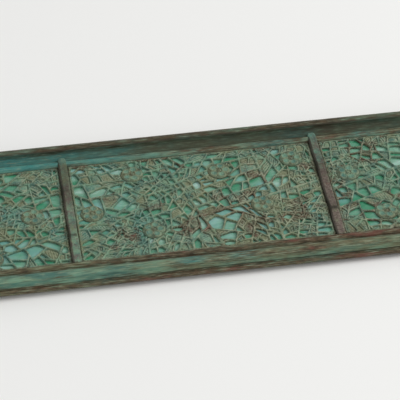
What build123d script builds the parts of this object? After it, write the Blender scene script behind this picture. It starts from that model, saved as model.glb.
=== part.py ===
"""Long, low pen tray: a mitred bronze moulding round three pierced bronze panels laid over slag glass.

Millimetres. The origin is the middle of the tray on the table, +X runs along the tray, +Y is the far side
and +Z is up. The tray stands on four low button feet. Nothing on it moves.
"""
from build123d import *

import math
import os
import random

# Driving dimensions of the whole tray
tray_length = 248.0
tray_width = 76.0
foot_height = 1.0
rail_height = 6.7

# The layers that lie in the rails' rebates, from below
plate_thickness = 0.6
glass_thickness = 1.9
sheet_thickness = 0.5

# Rail moulding: insets are measured in from its outermost line, drops down from the top of its lip
lip_crown_inset = 3.22
lip_inner_inset = 4.9
lip_inner_drop = 0.5
lip_outer_inset = 1.27
lip_outer_drop = 0.7
cove_top_drop = 1.5
cove_middle = (5.6, 2.6)
bead_outer = (8.1, 3.3)
bead_crest = (9.6, 2.45)
bead_inner_inset = 11.1
bead_edge_height = 0.2
face_middle = (1.5, 2.0)
groove_top = (1.1, 3.3)
groove_middle = (1.2, 3.6)
groove_low = (0.5, 3.8)
band_middle = (0.143, 4.008)
band_top_drop = 4.4
band_low_drop = 5.0
base_round_middle = (0.396, 6.102)
base_round_inset = 1.4
plate_rebate_inset = 3.5
glass_rebate_inset = 8.6
lay_in_clearance = 0.1

# Pen rests: two low bars of half-oval section across the tray, each with three hollows for pens
rest_position = 49.2
rest_width = 3.7
rest_oval_height = 2.5
rest_far_end_inset = 7.0
rest_near_end_inset = 10.4
rest_end_round = 1.3
rest_land_inset = 9.6
rest_land_drop = 2.1
rest_cusp_y = 12.3
rest_cusp_drop = 1.8
rest_hollow_drop = 2.9
panel_joint_gap = 2.0

# Studs under the rests, and the nuts that draw them down
stud_radius = 0.8
stud_y = 20.0
stud_past_nut = 0.1
nut_across_flats = 3.2
nut_height = 0.7

# Screws that hold the back plate
shank_radius = 0.8
screw_length = 2.6
screw_head_radius = 1.6
screw_head_height = 0.7
screw_head_round = 0.35
slot_width = 0.4
slot_depth = 0.3
screw_line_inset = 6.2
long_side_screw_x = (30.0, 84.0)
short_side_screw_y = 17.0
hole_clearance = 0.1

# Button feet
foot_radius = 3.6
foot_stud_radius = 1.0
foot_stud_length = 2.8
foot_x = 113.0

# Cracked-ice openwork of the panels, with five-petal blossoms on some of its crossings
panel_seeds = {"left": 3, "centre": 5, "right": 8}
border_width = 1.0
finest_cell_area = 9.0
coarsest_cell_area = 46.0
coarse_patch_x = 9.5
coarse_patch_y = 7.5
main_bar_width = 1.2
fine_bar_width = 0.75
main_bar_levels = 3
smallest_hole_area = 1.6
small_hole_area = 7.0
small_blind_share = 0.66
large_blind_share = 0.3
longest_hole_side = 14.0
blossom_spacing = 24.0
blossom_edge_distance = 6.0
blossom_disc_radius = 4.4
petal_radius = 1.75
petal_ring_radius = 2.5
petal_count = 5
blossom_eye_radius = 0.8
blossom_relief = 0.35

# Values worked out from the driving dimensions
half_length = tray_length / 2
half_width = tray_width / 2
lip_top = foot_height + rail_height
plate_top = foot_height + plate_thickness
glass_top = plate_top + glass_thickness
sheet_top = glass_top + sheet_thickness
sheet_half_width = half_width - glass_rebate_inset - lay_in_clearance
sheet_end = half_length - glass_rebate_inset - lay_in_clearance
visible_half_width = half_width - bead_inner_inset
visible_end = half_length - bead_inner_inset
screw_line_y = half_width - screw_line_inset
screw_line_x = half_length - screw_line_inset
signs = (-1, 1)
screw_places = [(sx * x, sy * screw_line_y) for x in long_side_screw_x for sx in signs for sy in signs]
screw_places += [(sx * screw_line_x, sy * short_side_screw_y) for sx in signs for sy in signs]
stud_places = [(sx * rest_position, sy * stud_y) for sx in signs for sy in signs]
foot_places = {
    "front_left_foot": (-foot_x, -screw_line_y),
    "front_right_foot": (foot_x, -screw_line_y),
    "back_left_foot": (-foot_x, screw_line_y),
    "back_right_foot": (foot_x, screw_line_y),
}

os.makedirs("parts", exist_ok=True)


def save(piece, name):
    """Label a finished piece and write it under its own name."""
    piece.label = name
    export_step(piece, f"parts/{name}.step")


# Rails


def moulded_rail(outward, half_run, half_depth):
    """One side of the frame: the moulding's section, run along the side and mitred at both ends."""
    outward = Vector(*outward)
    along = outward.cross(Vector(0, 0, 1))

    def at(inset, drop):
        return (half_depth - inset, lip_top - drop)

    lip_inner = at(lip_inner_inset, lip_inner_drop)
    lip_outer = at(lip_outer_inset, lip_outer_drop)
    cove_top = at(lip_inner_inset, cove_top_drop)
    bead_edge = (half_depth - bead_inner_inset, sheet_top + bead_edge_height)
    band_top = at(0, band_top_drop)
    band_low = at(0, band_low_drop)
    rebates = [
        (half_depth - base_round_inset, foot_height),
        (half_depth - plate_rebate_inset, foot_height),
        (half_depth - plate_rebate_inset, plate_top),
        (half_depth - glass_rebate_inset, plate_top),
        (half_depth - glass_rebate_inset, sheet_top),
        (half_depth - bead_inner_inset, sheet_top),
        bead_edge,
    ]
    with BuildPart() as rail:
        with BuildSketch(Plane(origin=(0, 0, 0), x_dir=outward, z_dir=along)):
            with BuildLine():
                ThreePointArc(bead_edge, at(*bead_crest), at(*bead_outer))
                ThreePointArc(at(*bead_outer), at(*cove_middle), cove_top)
                Line(cove_top, lip_inner)
                ThreePointArc(lip_inner, at(lip_crown_inset, 0), lip_outer)
                ThreePointArc(lip_outer, at(*face_middle), at(*groove_top))
                ThreePointArc(at(*groove_top), at(*groove_middle), at(*groove_low))
                ThreePointArc(at(*groove_low), at(*band_middle), band_top)
                Line(band_top, band_low)
                ThreePointArc(band_low, at(*base_round_middle), rebates[0])
                Polyline(*rebates)
            make_face()
        extrude(amount=half_run, both=True)
        for end in signs:
            corner = outward * half_depth + along * (end * half_run)
            split(bisect_by=Plane(origin=corner, z_dir=along * end - outward), keep=Keep.BOTTOM)
        with BuildSketch(Plane.XY.offset(plate_top)):
            with Locations(*screw_places):
                Circle(shank_radius)
        extrude(amount=screw_length - plate_thickness, mode=Mode.SUBTRACT)
        with BuildSketch(Plane.XY.offset(plate_top)):
            with Locations(*foot_places.values()):
                Circle(foot_stud_radius)
        extrude(amount=foot_stud_length - plate_thickness, mode=Mode.SUBTRACT)
    return rail.part


rails = {
    "front_rail": moulded_rail((0, -1, 0), half_length, half_width),
    "back_rail": moulded_rail((0, 1, 0), half_length, half_width),
    "left_rail": moulded_rail((-1, 0, 0), half_width, half_length),
    "right_rail": moulded_rail((1, 0, 0), half_width, half_length),
}
for rail_name, rail_part in rails.items():
    save(rail_part, rail_name)


# Openwork panels


def polygon_area(points):
    """Area of a polygon by the shoelace rule."""
    following = points[1:] + points[:1]
    return abs(sum(p[0] * q[1] - q[0] * p[1] for p, q in zip(points, following))) / 2


def wanted_cell_area(corners, seed):
    """Area at which a cell stops splitting: two crossed waves make patches of fine and of coarse ice."""
    x = sum(x for x, _ in corners) / len(corners)
    y = sum(y for _, y in corners) / len(corners)
    bend = math.sin(y / coarse_patch_y)
    wave = math.sin(x / coarse_patch_x + bend + seed) * math.cos(y / coarse_patch_y + seed)
    return finest_cell_area + (coarsest_cell_area - finest_cell_area) * (0.5 + 0.5 * wave) ** 2


def crack(cell, chance, seed, level=0):
    """Split a cell again and again, as drying clay or thin ice cracks, until its pieces are small.

    A cell is a list of corners in order. Each corner goes with half the width of the bar that runs from it
    to the next one. A crack joins a point on a long side to one on a side that doesn't touch it.
    """
    corners = [corner for corner, _ in cell]
    count = len(cell)
    if polygon_area(corners) < wanted_cell_area(corners, seed) * chance.uniform(0.7, 1.3):
        return [cell]

    def length(side):
        return math.dist(corners[side], corners[(side + 1) % count])

    def along(side, share):
        (x0, y0), (x1, y1) = corners[side], corners[(side + 1) % count]
        return (x0 + share * (x1 - x0), y0 + share * (y1 - y0))

    first = max(range(count), key=lambda side: length(side) * chance.uniform(0.75, 1.0))
    apart = [side for side in range(count) if side != first]
    if count > 4:
        apart = [side for side in apart if (side - first) % count not in (1, count - 1)]
    second = max(apart, key=lambda side: length(side) * chance.uniform(0.4, 1.0))
    start = along(first, chance.uniform(0.36, 0.64))
    finish = along(second, chance.uniform(0.3, 0.7))
    half_bar = (main_bar_width if level < main_bar_levels else fine_bar_width) / 2
    pieces = []
    for side_a, side_b, point_a, point_b in ((first, second, start, finish), (second, first, finish, start)):
        steps = (side_b - side_a) % count
        between = [cell[(side_a + step) % count] for step in range(1, steps + 1)]
        pieces.append([(point_a, cell[side_a][1])] + between + [(point_b, half_bar)])
    return crack(pieces[0], chance, seed, level + 1) + crack(pieces[1], chance, seed, level + 1)


def opening_of(cell):
    """The hole left in a cell once each side has moved in by half its bar: one clip of the polygon a side."""
    corners = [corner for corner, _ in cell]
    opening = corners
    for (x0, y0), (x1, y1), half_bar in zip(corners, corners[1:] + corners[:1], [bar for _, bar in cell]):
        run = math.dist((x0, y0), (x1, y1))
        depths = [((y - y0) * (x1 - x0) - (x - x0) * (y1 - y0)) / run - half_bar for x, y in opening]
        clipped = []
        for index, depth in enumerate(depths):
            following = (index + 1) % len(opening)
            if depth >= 0:
                clipped.append(opening[index])
            if (depth >= 0) != (depths[following] >= 0):
                share = depth / (depth - depths[following])
                (xa, ya), (xb, yb) = opening[index], opening[following]
                clipped.append((xa + share * (xb - xa), ya + share * (yb - ya)))
        opening = clipped
        if len(opening) < 3:
            return []
    return opening


def is_pierced(opening, chance):
    """Whether a cell goes right through. The others are blind: etched in relief, and closed here."""
    blind_share = small_blind_share if polygon_area(opening) < small_hole_area else large_blind_share
    return chance.random() > blind_share


def cracked_ice(x_low, x_high, y_low, y_high, seed):
    """Holes and blossom centres of one panel's openwork, the same each time for the same seed."""
    chance = random.Random(seed)
    outline = [(x_low, y_low), (x_high, y_low), (x_high, y_high), (x_low, y_high)]
    cells = crack([(corner, border_width) for corner in outline], chance, seed)
    openings = [opening_of(cell) for cell in cells]
    large = [opening for opening in openings if opening and polygon_area(opening) > smallest_hole_area]
    holes = [opening for opening in large if is_pierced(opening, chance)]
    crossings = sorted({(round(x, 4), round(y, 4)) for cell in cells for (x, y), _ in cell})
    chance.shuffle(crossings)
    blossoms = []
    for x, y in crossings:
        inside_x = x_low + blossom_edge_distance < x < x_high - blossom_edge_distance
        inside_y = y_low + blossom_edge_distance < y < y_high - blossom_edge_distance
        clear = all(math.dist((x, y), other) > blossom_spacing for other in blossoms)
        if inside_x and inside_y and clear:
            blossoms.append((x, y))
    return holes, blossoms


def hole_wires(hole, blossoms):
    """The edge of one hole, cut back where a blossom's disc covers part of it."""
    reach = blossom_disc_radius + longest_hole_side
    near = [spot for spot in blossoms if any(math.dist(spot, corner) < reach for corner in hole)]
    if not near:
        return [Wire.make_polygon([(x, y, 0) for x, y in hole], close=True)]
    with BuildSketch() as window:
        with BuildLine():
            Polyline(*hole, close=True)
        make_face()
        with Locations(*near):
            Circle(blossom_disc_radius, mode=Mode.SUBTRACT)
    return [face.outer_wire() for face in window.sketch.faces() if face.area > smallest_hole_area]


def openwork_panel(x_low, x_high, x_seen_low, x_seen_high, seed):
    """One pierced sheet: its holes lie where it shows, and its plain edges go under beads and rests."""
    holes, blossoms = cracked_ice(x_seen_low, x_seen_high, -visible_half_width, visible_half_width, seed)
    with BuildSketch() as blank:
        with Locations(((x_low + x_high) / 2, 0)):
            Rectangle(x_high - x_low, 2 * sheet_half_width)
    wires = [wire for hole in holes for wire in hole_wires(hole, blossoms)]
    pierced = blank.sketch.face().make_holes(wires)
    with BuildPart() as panel:
        extrude(Plane.XY.offset(glass_top) * pierced, amount=sheet_thickness)
        with BuildSketch(Plane.XY.offset(sheet_top)):
            with Locations(*blossoms):
                Circle(blossom_eye_radius)
                with PolarLocations(petal_ring_radius, petal_count):
                    Circle(petal_radius)
        extrude(amount=blossom_relief)
    print("panel", seed, "holes", len(wires), "blossoms", len(blossoms))
    return panel.part


joint_low = rest_position - panel_joint_gap / 2
joint_high = rest_position + panel_joint_gap / 2
seen_low = rest_position - rest_width / 2
seen_high = rest_position + rest_width / 2
panel_spans = {
    "left": (-sheet_end, -joint_high, -visible_end, -seen_high),
    "centre": (-joint_low, joint_low, -seen_low, seen_low),
    "right": (joint_high, sheet_end, seen_high, visible_end),
}
for side, span in panel_spans.items():
    save(openwork_panel(*span, panel_seeds[side]), f"{side}_openwork")


# Glass and back plate

for side, (x_low, x_high, _, _) in panel_spans.items():
    with BuildPart() as pane:
        with BuildSketch(Plane.XY.offset(plate_top)):
            with Locations(((x_low + x_high) / 2, 0)):
                Rectangle(x_high - x_low, 2 * sheet_half_width)
        extrude(amount=glass_thickness)
    save(pane.part, f"{side}_glass")

plate_margin = plate_rebate_inset + lay_in_clearance
with BuildPart() as back_plate:
    with BuildSketch(Plane.XY.offset(foot_height)):
        Rectangle(tray_length - 2 * plate_margin, tray_width - 2 * plate_margin)
        with Locations(*screw_places, *stud_places):
            Circle(shank_radius + hole_clearance, mode=Mode.SUBTRACT)
        with Locations(*foot_places.values()):
            Circle(foot_stud_radius + hole_clearance, mode=Mode.SUBTRACT)
    extrude(amount=plate_thickness)
save(back_plate.part, "back_plate")


# Pen rests


def pen_rest(x):
    """A half-oval bar across the tray, with three hollows between two cusps and two studs below.

    Its rounded far tip lies over the bead and reaches into the cove. Its near end is cut square on the bead.
    """
    end_y = half_width - rest_far_end_inset
    near_y = half_width - rest_near_end_inset
    land_y = half_width - rest_land_inset
    land_top = lip_top - rest_land_drop
    cusp_top = lip_top - rest_cusp_drop
    hollow = lip_top - rest_hollow_drop
    side_y = (land_y + rest_cusp_y) / 2
    with BuildPart() as rest:
        with BuildSketch(Plane.XZ):
            with Locations((x, sheet_top)):
                Ellipse(rest_width / 2, rest_oval_height)
        extrude(amount=end_y, both=True)
        with BuildSketch(Plane.YZ.offset(x - rest_width)):
            with BuildLine():
                ThreePointArc((-land_y, land_top), (-side_y, hollow), (-rest_cusp_y, cusp_top))
                ThreePointArc((-rest_cusp_y, cusp_top), (0, hollow), (rest_cusp_y, cusp_top))
                ThreePointArc((rest_cusp_y, cusp_top), (side_y, hollow), (land_y, land_top))
                Polyline(
                    (land_y, land_top),
                    (end_y, land_top),
                    (end_y, sheet_top),
                    (-end_y, sheet_top),
                    (-end_y, land_top),
                    (-land_y, land_top),
                )
            make_face()
        extrude(amount=2 * rest_width, mode=Mode.INTERSECT)
        with BuildSketch(Plane.XY.offset(sheet_top)):
            with Locations((x, 0)):
                RectangleRounded(rest_width + 2 * lay_in_clearance, 2 * end_y, rest_end_round)
            with Locations((x, (end_y - near_y) / 2)):
                Rectangle(2 * rest_width, end_y + near_y, mode=Mode.INTERSECT)
        extrude(amount=lip_top - sheet_top, mode=Mode.INTERSECT)
        add(rails["front_rail"], mode=Mode.SUBTRACT)
        add(rails["back_rail"], mode=Mode.SUBTRACT)
        stud_bottom = foot_height - nut_height - stud_past_nut
        with BuildSketch(Plane.XY.offset(stud_bottom)):
            with Locations((x, -stud_y), (x, stud_y)):
                Circle(stud_radius)
        extrude(amount=sheet_top - stud_bottom)
    return rest.part


save(pen_rest(-rest_position), "left_pen_rest")
save(pen_rest(rest_position), "right_pen_rest")


# Feet


def button_foot(x, y):
    """A turned button with a half-round edge, and the stud by which it screws up into the frame."""
    flat_radius = foot_radius - foot_height / 2
    with BuildPart() as foot:
        with BuildSketch(Plane(origin=(x, y, 0), x_dir=(1, 0, 0), z_dir=(0, -1, 0))):
            with BuildLine():
                Line((0, 0), (flat_radius, 0))
                ThreePointArc((flat_radius, 0), (foot_radius, foot_height / 2), (flat_radius, foot_height))
                Polyline(
                    (flat_radius, foot_height),
                    (foot_stud_radius, foot_height),
                    (foot_stud_radius, foot_height + foot_stud_length),
                    (0, foot_height + foot_stud_length),
                    (0, 0),
                )
            make_face()
        revolve(axis=Axis((x, y, 0), (0, 0, 1)))
    return foot.part


for foot_name, foot_place in foot_places.items():
    save(button_foot(*foot_place), foot_name)


# Fasteners

with BuildPart() as plate_screws:
    with BuildSketch(Plane.XY.offset(foot_height - screw_head_height)):
        with Locations(*screw_places):
            Circle(screw_head_radius)
    extrude(amount=screw_head_height)
    fillet(plate_screws.faces().sort_by(Axis.Z)[: len(screw_places)].edges(), screw_head_round)
    with BuildSketch(Plane.XY.offset(foot_height - screw_head_height)):
        with Locations(*screw_places):
            Rectangle(2 * screw_head_radius, slot_width)
    extrude(amount=slot_depth, mode=Mode.SUBTRACT)
    with BuildSketch(Plane.XY.offset(foot_height)):
        with Locations(*screw_places):
            Circle(shank_radius)
    extrude(amount=screw_length)
save(plate_screws.part, "plate_screws")

with BuildPart() as rest_nuts:
    with BuildSketch(Plane.XY.offset(foot_height - nut_height)):
        with Locations(*stud_places):
            RegularPolygon(nut_across_flats / 2, 6, major_radius=False)
            Circle(stud_radius, mode=Mode.SUBTRACT)
    extrude(amount=nut_height)
save(rest_nuts.part, "rest_nuts")
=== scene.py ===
"""Looks of a long, low pen tray: verdigris bronze moulding and openwork over opalescent slag glass.

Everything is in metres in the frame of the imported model: +X along the tray, +Y the far side, +Z up.
"""

import math
import random

import bmesh
import bpy
import numpy as np
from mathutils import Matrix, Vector


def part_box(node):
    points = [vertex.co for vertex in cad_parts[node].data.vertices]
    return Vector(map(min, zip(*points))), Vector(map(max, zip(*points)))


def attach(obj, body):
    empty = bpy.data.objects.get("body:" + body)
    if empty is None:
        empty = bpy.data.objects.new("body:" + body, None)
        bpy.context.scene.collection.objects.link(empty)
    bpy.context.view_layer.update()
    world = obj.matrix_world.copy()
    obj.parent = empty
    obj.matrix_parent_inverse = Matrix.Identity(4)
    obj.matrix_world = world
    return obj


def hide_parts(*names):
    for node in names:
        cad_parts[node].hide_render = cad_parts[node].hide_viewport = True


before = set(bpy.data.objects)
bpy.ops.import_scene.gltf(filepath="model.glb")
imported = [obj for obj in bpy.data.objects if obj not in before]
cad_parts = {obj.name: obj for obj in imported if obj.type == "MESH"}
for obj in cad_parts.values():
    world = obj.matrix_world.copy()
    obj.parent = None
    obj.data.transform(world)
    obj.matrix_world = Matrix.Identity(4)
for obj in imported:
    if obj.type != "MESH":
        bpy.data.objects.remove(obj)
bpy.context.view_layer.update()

bl_info = {
    "name": "Pen tray in patinated bronze and slag glass",
    "version": (1, 0, 0),
    "blender": (4, 5, 0),
    "location": "3D View > Sidebar > Pen tray",
    "description": "Builds the finished surfaces of a low pen tray and the studio round it",
    "category": "Add Mesh",
}

MM = 0.001
BODY = "root"

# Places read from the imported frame
RAIL_LOW, RAIL_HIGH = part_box("front_rail")
HALF_LENGTH = RAIL_HIGH.x / MM
HALF_WIDTH = -RAIL_LOW.y / MM
FOOT_HEIGHT = RAIL_LOW.z / MM
LIP_TOP = RAIL_HIGH.z / MM
PANE_LOW, PANE_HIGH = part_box("centre_glass")
PLATE_TOP = PANE_LOW.z / MM
GLASS_TOP = PANE_HIGH.z / MM
REST_LOW, REST_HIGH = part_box("right_pen_rest")
REST_X = (REST_LOW.x + REST_HIGH.x) / 2 / MM
REST_WIDTH = (REST_HIGH.x - REST_LOW.x) / MM
REST_FAR_END = REST_HIGH.y / MM
REST_NEAR_END = REST_LOW.y / MM
STUD_FOOT = REST_LOW.z / MM

# Sizes in millimetres that the solids share. A point of the moulding is its inset from the rim's outer
# face and its drop below the top of the lip.
SHEET_THICKNESS = 0.5
SHEET_TOP = GLASS_TOP + SHEET_THICKNESS
BEAD_CREST = (9.6, 2.45)
BEAD_OUTER = (8.1, 3.3)
BEAD_INNER_INSET = 11.1
BEAD_EDGE_HEIGHT = 0.2
COVE_MIDDLE = (5.6, 2.6)
COVE_TOP = (4.9, 1.5)
LIP_INNER = (4.9, 0.5)
LIP_CROWN = (3.22, 0.0)
LIP_OUTER = (1.27, 0.7)
FACE_MIDDLE = (1.5, 2.0)
GROOVE_TOP = (1.1, 3.3)
GROOVE_MIDDLE = (1.2, 3.6)
GROOVE_LOW = (0.5, 3.8)
BAND_MIDDLE = (0.143, 4.008)
BAND_TOP = (0.0, 4.4)
BAND_LOW = (0.0, 5.0)
BASE_ROUND_MIDDLE = (0.396, 6.102)
BASE_ROUND_INSET = 1.4
PLATE_REBATE_INSET = 3.5
GLASS_REBATE_INSET = 8.6
REST_OVAL_HEIGHT = 2.5
REST_LAND_INSET = 9.6
REST_LAND_DROP = 2.1
REST_CUSP_Y = 12.3
REST_CUSP_DROP = 1.8
REST_HOLLOW_DROP = 2.9
STUD_RADIUS = 0.8
STUD_Y = 20.0
REST_END_ROUND = 1.3
REST_EDGE_ROUND = 0.35
REST_BLEND = 14.0
FOOT_RADIUS = 3.6

# Cracked-ice openwork, the same cracks as in the solid panels
PANEL_SEEDS = {"left": 3, "centre": 5, "right": 8}
BORDER_WIDTH = 1.0
FINEST_CELL_AREA = 9.0
COARSEST_CELL_AREA = 46.0
COARSE_PATCH_X = 9.5
COARSE_PATCH_Y = 7.5
MAIN_BAR_WIDTH = 1.2
FINE_BAR_WIDTH = 0.75
MAIN_BAR_LEVELS = 3
SMALLEST_HOLE_AREA = 1.6
SMALL_HOLE_AREA = 7.0
SMALL_BLIND_SHARE = 0.66
LARGE_BLIND_SHARE = 0.3
BLOSSOM_SPACING = 24.0
BLOSSOM_EDGE_DISTANCE = 6.0
BLOSSOM_DISC_RADIUS = 4.4
PETAL_RADIUS = 1.75
PETAL_RING_RADIUS = 2.5
PETAL_COUNT = 5
BLOSSOM_EYE_RADIUS = 0.8
BAR_CREST = 0.38
BAR_FOOT = -0.12
BLIND_FLOOR = -0.22
BLOSSOM_FLOOR = 0.08
BLOSSOM_EDGE_ROUND = 0.25
BLOSSOM_CENTRE_RADIUS = 1.4
STAMEN_RING_RADIUS = 1.15
PETAL_RISE = 0.42
PETAL_BRIM_WIDTH = 0.45
PETAL_DISH = 0.22
PETAL_CREASE = 0.12
EYE_RISE = 0.5
STAMEN_RISE = 0.3
BURIED = 0.2

# Shares of the way down a bar from its crest to its foot, and from there to the middle of a blind cell's pad
DOWN_BAR = [0.0, 0.3, 0.55, 0.75, 0.9, 1.0]
INTO_PAD = [0.08, 0.24, 0.6, 0.96]

# Fine lines etched into the blind cells. Their field runs from 0 to 1 over the span.
HATCHING = ("hatch", "etch")
HATCH_PITCH = 0.9
HATCH_SPAN = 300.0

# How fine the surfaces are: millimetres between points, and counts of points. Places closer than TOUCHING
# are taken as one.
RAIL_STEP = 0.3
OUTLINE_STEP = 0.9
PANE_STEP = 1.2
TOUCHING = 1e-3
REST_STATIONS = 321
REST_COLUMNS = 29
BLOSSOM_RINGS = 24
BLOSSOM_FACETS = 90
FOOT_FACETS = 64
STUD_FACETS = 24

# Depths in millimetres of the marks in the drawn, cast, rolled and turned skins
DRAWING_LINE_DEPTH = 0.018
DENT_DEPTH = 0.06
PIT_DEPTH = 0.02
BAR_WAVE_DEPTH = 0.07
REST_WEAR_DEPTH = 0.04
GLASS_WAVE_DEPTH = 0.055
TURNING_MARK_DEPTH = 0.04

# Colours over the rim. A quality gives a moulding member its strength at the tray's left and right ends.
# A patch is a member, its place along the tray and half its length. The brow and the valley are strengths of
# painted shade, at the lip's inner edge and between the bead and the cove. The dirt quality is dirt with
# painted shade, the far cove's mostly painted shade, and the worn quality on the bead and the lip is wear
# with a painted highlight.
FAR_TONES = {
    "patina": {
        "bead": (0.5, 0.02),
        "cove": (0.45, 0.3),
        "lip": (-0.05, -0.2),
        "face": (0.2, 0.0),
        "band": (-0.25, -0.25),
    },
    "olive": {"bead": (-0.3, 0.15), "cove": (-0.4, 0.3)},
    "teal": {"bead": (0.85, 0.1), "cove": (1.0, 0.0), "face": (0.5, 0.0)},
    "dirt_and_shade": {"bead": (-0.06, 0.2), "cove": (0.48, 0.78), "lip": (0.4, 0.4)},
    "wear_and_sheen": {"bead": (0.25, 0.0)},
    "rust_patches": [("bead", 4.0, 13.0), ("bead", 56.0, 6.0), ("cove", 56.0, 5.0), ("lip", 38.0, 8.0)],
    "blue_patches": [("cove", 43.0, 8.0), ("bead", 34.0, 10.0), ("bead", 70.0, 5.0)],
    "brow_shade": 0.4,
    "valley_shade": 0.22,
}
NEAR_TONES = {
    "patina": {
        "bead": (-0.1, -0.28),
        "cove": (0.1, 0.0),
        "lip": (0.25, 0.15),
        "face": (0.3, 0.2),
        "band": (-0.15, -0.15),
    },
    "olive": {"bead": (0.6, 0.2), "lip": (-0.12, 0.2), "face": (-0.18, 0.15), "band": (0.5, 0.2)},
    "teal": {"lip": (0.1, 0.0), "face": (0.25, 0.0)},
    "dirt_and_shade": {"cove": (0.35, 0.4)},
    "wear_and_sheen": {"bead": (0.07, 0.07), "lip": (0.1, 0.3)},
    "rust_patches": [
        ("bead", 32.0, 7.0),
        ("bead", 50.0, 7.0),
        ("bead", 64.0, 9.0),
        ("bead", 60.0, 6.0),
        ("bead", -14.0, 8.0),
        ("lip", 36.0, 8.0),
        ("band", -27.0, 5.0),
        ("band", -18.0, 3.0),
        ("band", -5.0, 5.0),
        ("band", 10.0, 7.0),
        ("band", 55.0, 10.0),
    ],
    "blue_patches": [("lip", -8.0, 6.0), ("lip", 12.0, 5.0)],
    "brow_shade": 0.5,
    "valley_shade": 0.25,
}

# Colours over the rests: a quality's strength at each of REST_LOOK_PLACES, or one strength for a single mark.
# The lee is painted shade on the side away from the light, and the step painted shade on the steep face in
# front of each cusp.
REST_LOOK_PLACES = (-20.0, -12.0, 0.0, 8.0, 20.0)
LEFT_REST_LOOK = {
    "patina": (0.6, 0.6, 0.5, 0.35, 0.6),
    "olive": (0.1, 0.2, 0.3, 0.6, 0.45),
    "dirt_and_shade": (0.22, 0.3, 0.24, 0.5, 0.54),
    "lee_shade": 0.45,
    "blue": 0.0,
    "step": 0.7,
    "rust": 0.4,
}
RIGHT_REST_LOOK = {
    "patina": (0.15, 0.0, 0.05, 0.15, 0.5),
    "olive": (0.8, 0.8, 0.8, 0.6, 0.1),
    "dirt_and_shade": (0.13, 0.36, 0.15, 0.5, 0.44),
    "lee_shade": 0.6,
    "blue": 0.6,
    "step": 1.0,
    "rust": 0.7,
}

# Studio, in metres
TABLE_HALF_SIDE = 3.0
SOFTBOX_SIDE = 0.9
KEY_PLACE = (1.6, 0.04, 1.25)
FILL_PLACE = (-0.25, -0.95, 0.65)

# Photograph's camera: it looks down at the tray from a little to its left
PHOTO_SIDE = 400
FOCAL_PIXELS = 1915.0
SENSOR = 36.0
CAMERA_AZIMUTH = 8.95
CAMERA_ELEVATION = 41.9
CAMERA_DISTANCE = 725.7
CAMERA_TARGET = (0.4, 0.53, LIP_TOP - 4.0)


def linear(hex_colour):
    """sRGB hex to linear RGB: c/12.92 up to 0.04045, else ((c + 0.055)/1.055)^2.4, for each channel."""
    channels = [int(hex_colour[i : i + 2], 16) / 255 for i in (1, 3, 5)]
    return tuple(c / 12.92 if c <= 0.04045 else ((c + 0.055) / 1.055) ** 2.4 for c in channels)


# Surfaces


def smooth_noise(x, y, seed):
    """Random heights from -1 to 1 on a square lattice, eased between its points by 3t^2 - 2t^3 both ways."""
    size = 256
    table = np.random.default_rng(seed).uniform(-1, 1, (size, size))
    column, row = np.floor(x).astype(int), np.floor(y).astype(int)
    tx, ty = x - column, y - row
    ex, ey = tx * tx * (3 - 2 * tx), ty * ty * (3 - 2 * ty)
    low = table[column % size, row % size] * (1 - ex) + table[(column + 1) % size, row % size] * ex
    above = (row + 1) % size
    high = table[column % size, above] * (1 - ex) + table[(column + 1) % size, above] * ex
    return low * (1 - ey) + high * ey


def layered_noise(x, y, seed, layers=3):
    """Sum of smooth noises, each at twice the pitch and half the height of the one before, about -1 to 1."""
    total = sum(0.5**k * smooth_noise(x * 2**k + 17 * k, y * 2**k - 9 * k, seed + k) for k in range(layers))
    return total / (2 - 0.5 ** (layers - 1))


def ease(value, low, high):
    """0 below low, 1 above high and 3t^2 - 2t^3 between them."""
    t = np.clip((value - low) / (high - low), 0, 1)
    return t * t * (3 - 2 * t)


def bell(value, middle, width):
    """A bump of height 1 round the middle: e to the power of -((value - middle) / width)^2."""
    return np.exp(-(((value - middle) / width) ** 2))


def arc(start, middle, end, steps):
    """Points of the circle through three points: its centre plus radius times (cos, sin) of an even sweep."""
    a, b, c = (np.array(p, float) for p in (start, middle, end))
    ab, ac = b - a, c - a
    cross = 2 * (ab[0] * ac[1] - ab[1] * ac[0])
    centre = a + np.array([ac[1] * ab @ ab - ab[1] * ac @ ac, ab[0] * ac @ ac - ac[0] * ab @ ab]) / cross
    angles = np.unwrap([math.atan2(*(p - centre)[::-1]) for p in (a, b, c)])
    sweep = np.linspace(angles[0], angles[2], steps + 1)
    radius = np.linalg.norm(a - centre)
    return centre + radius * np.stack([np.cos(sweep), np.sin(sweep)], 1)


def ring_faces(rings, around, first=0):
    """Quads of a grid whose rows close on themselves, as index arrays: row by row and column by column."""
    row, column = np.meshgrid(np.arange(rings - 1), np.arange(around), indexing="ij")
    after = (column + 1) % around
    here, below = first + row * around, first + (row + 1) * around
    return np.stack([here + column, here + after, below + after, below + column], -1).reshape(-1, 4)


def sheet_faces(rows, columns, first=0):
    """Quads of an open grid of points, as index arrays."""
    row, column = np.meshgrid(np.arange(rows - 1), np.arange(columns - 1), indexing="ij")
    here = row * columns + column
    return first + np.stack([here, here + 1, here + columns + 1, here + columns], -1).reshape(-1, 4)


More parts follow.
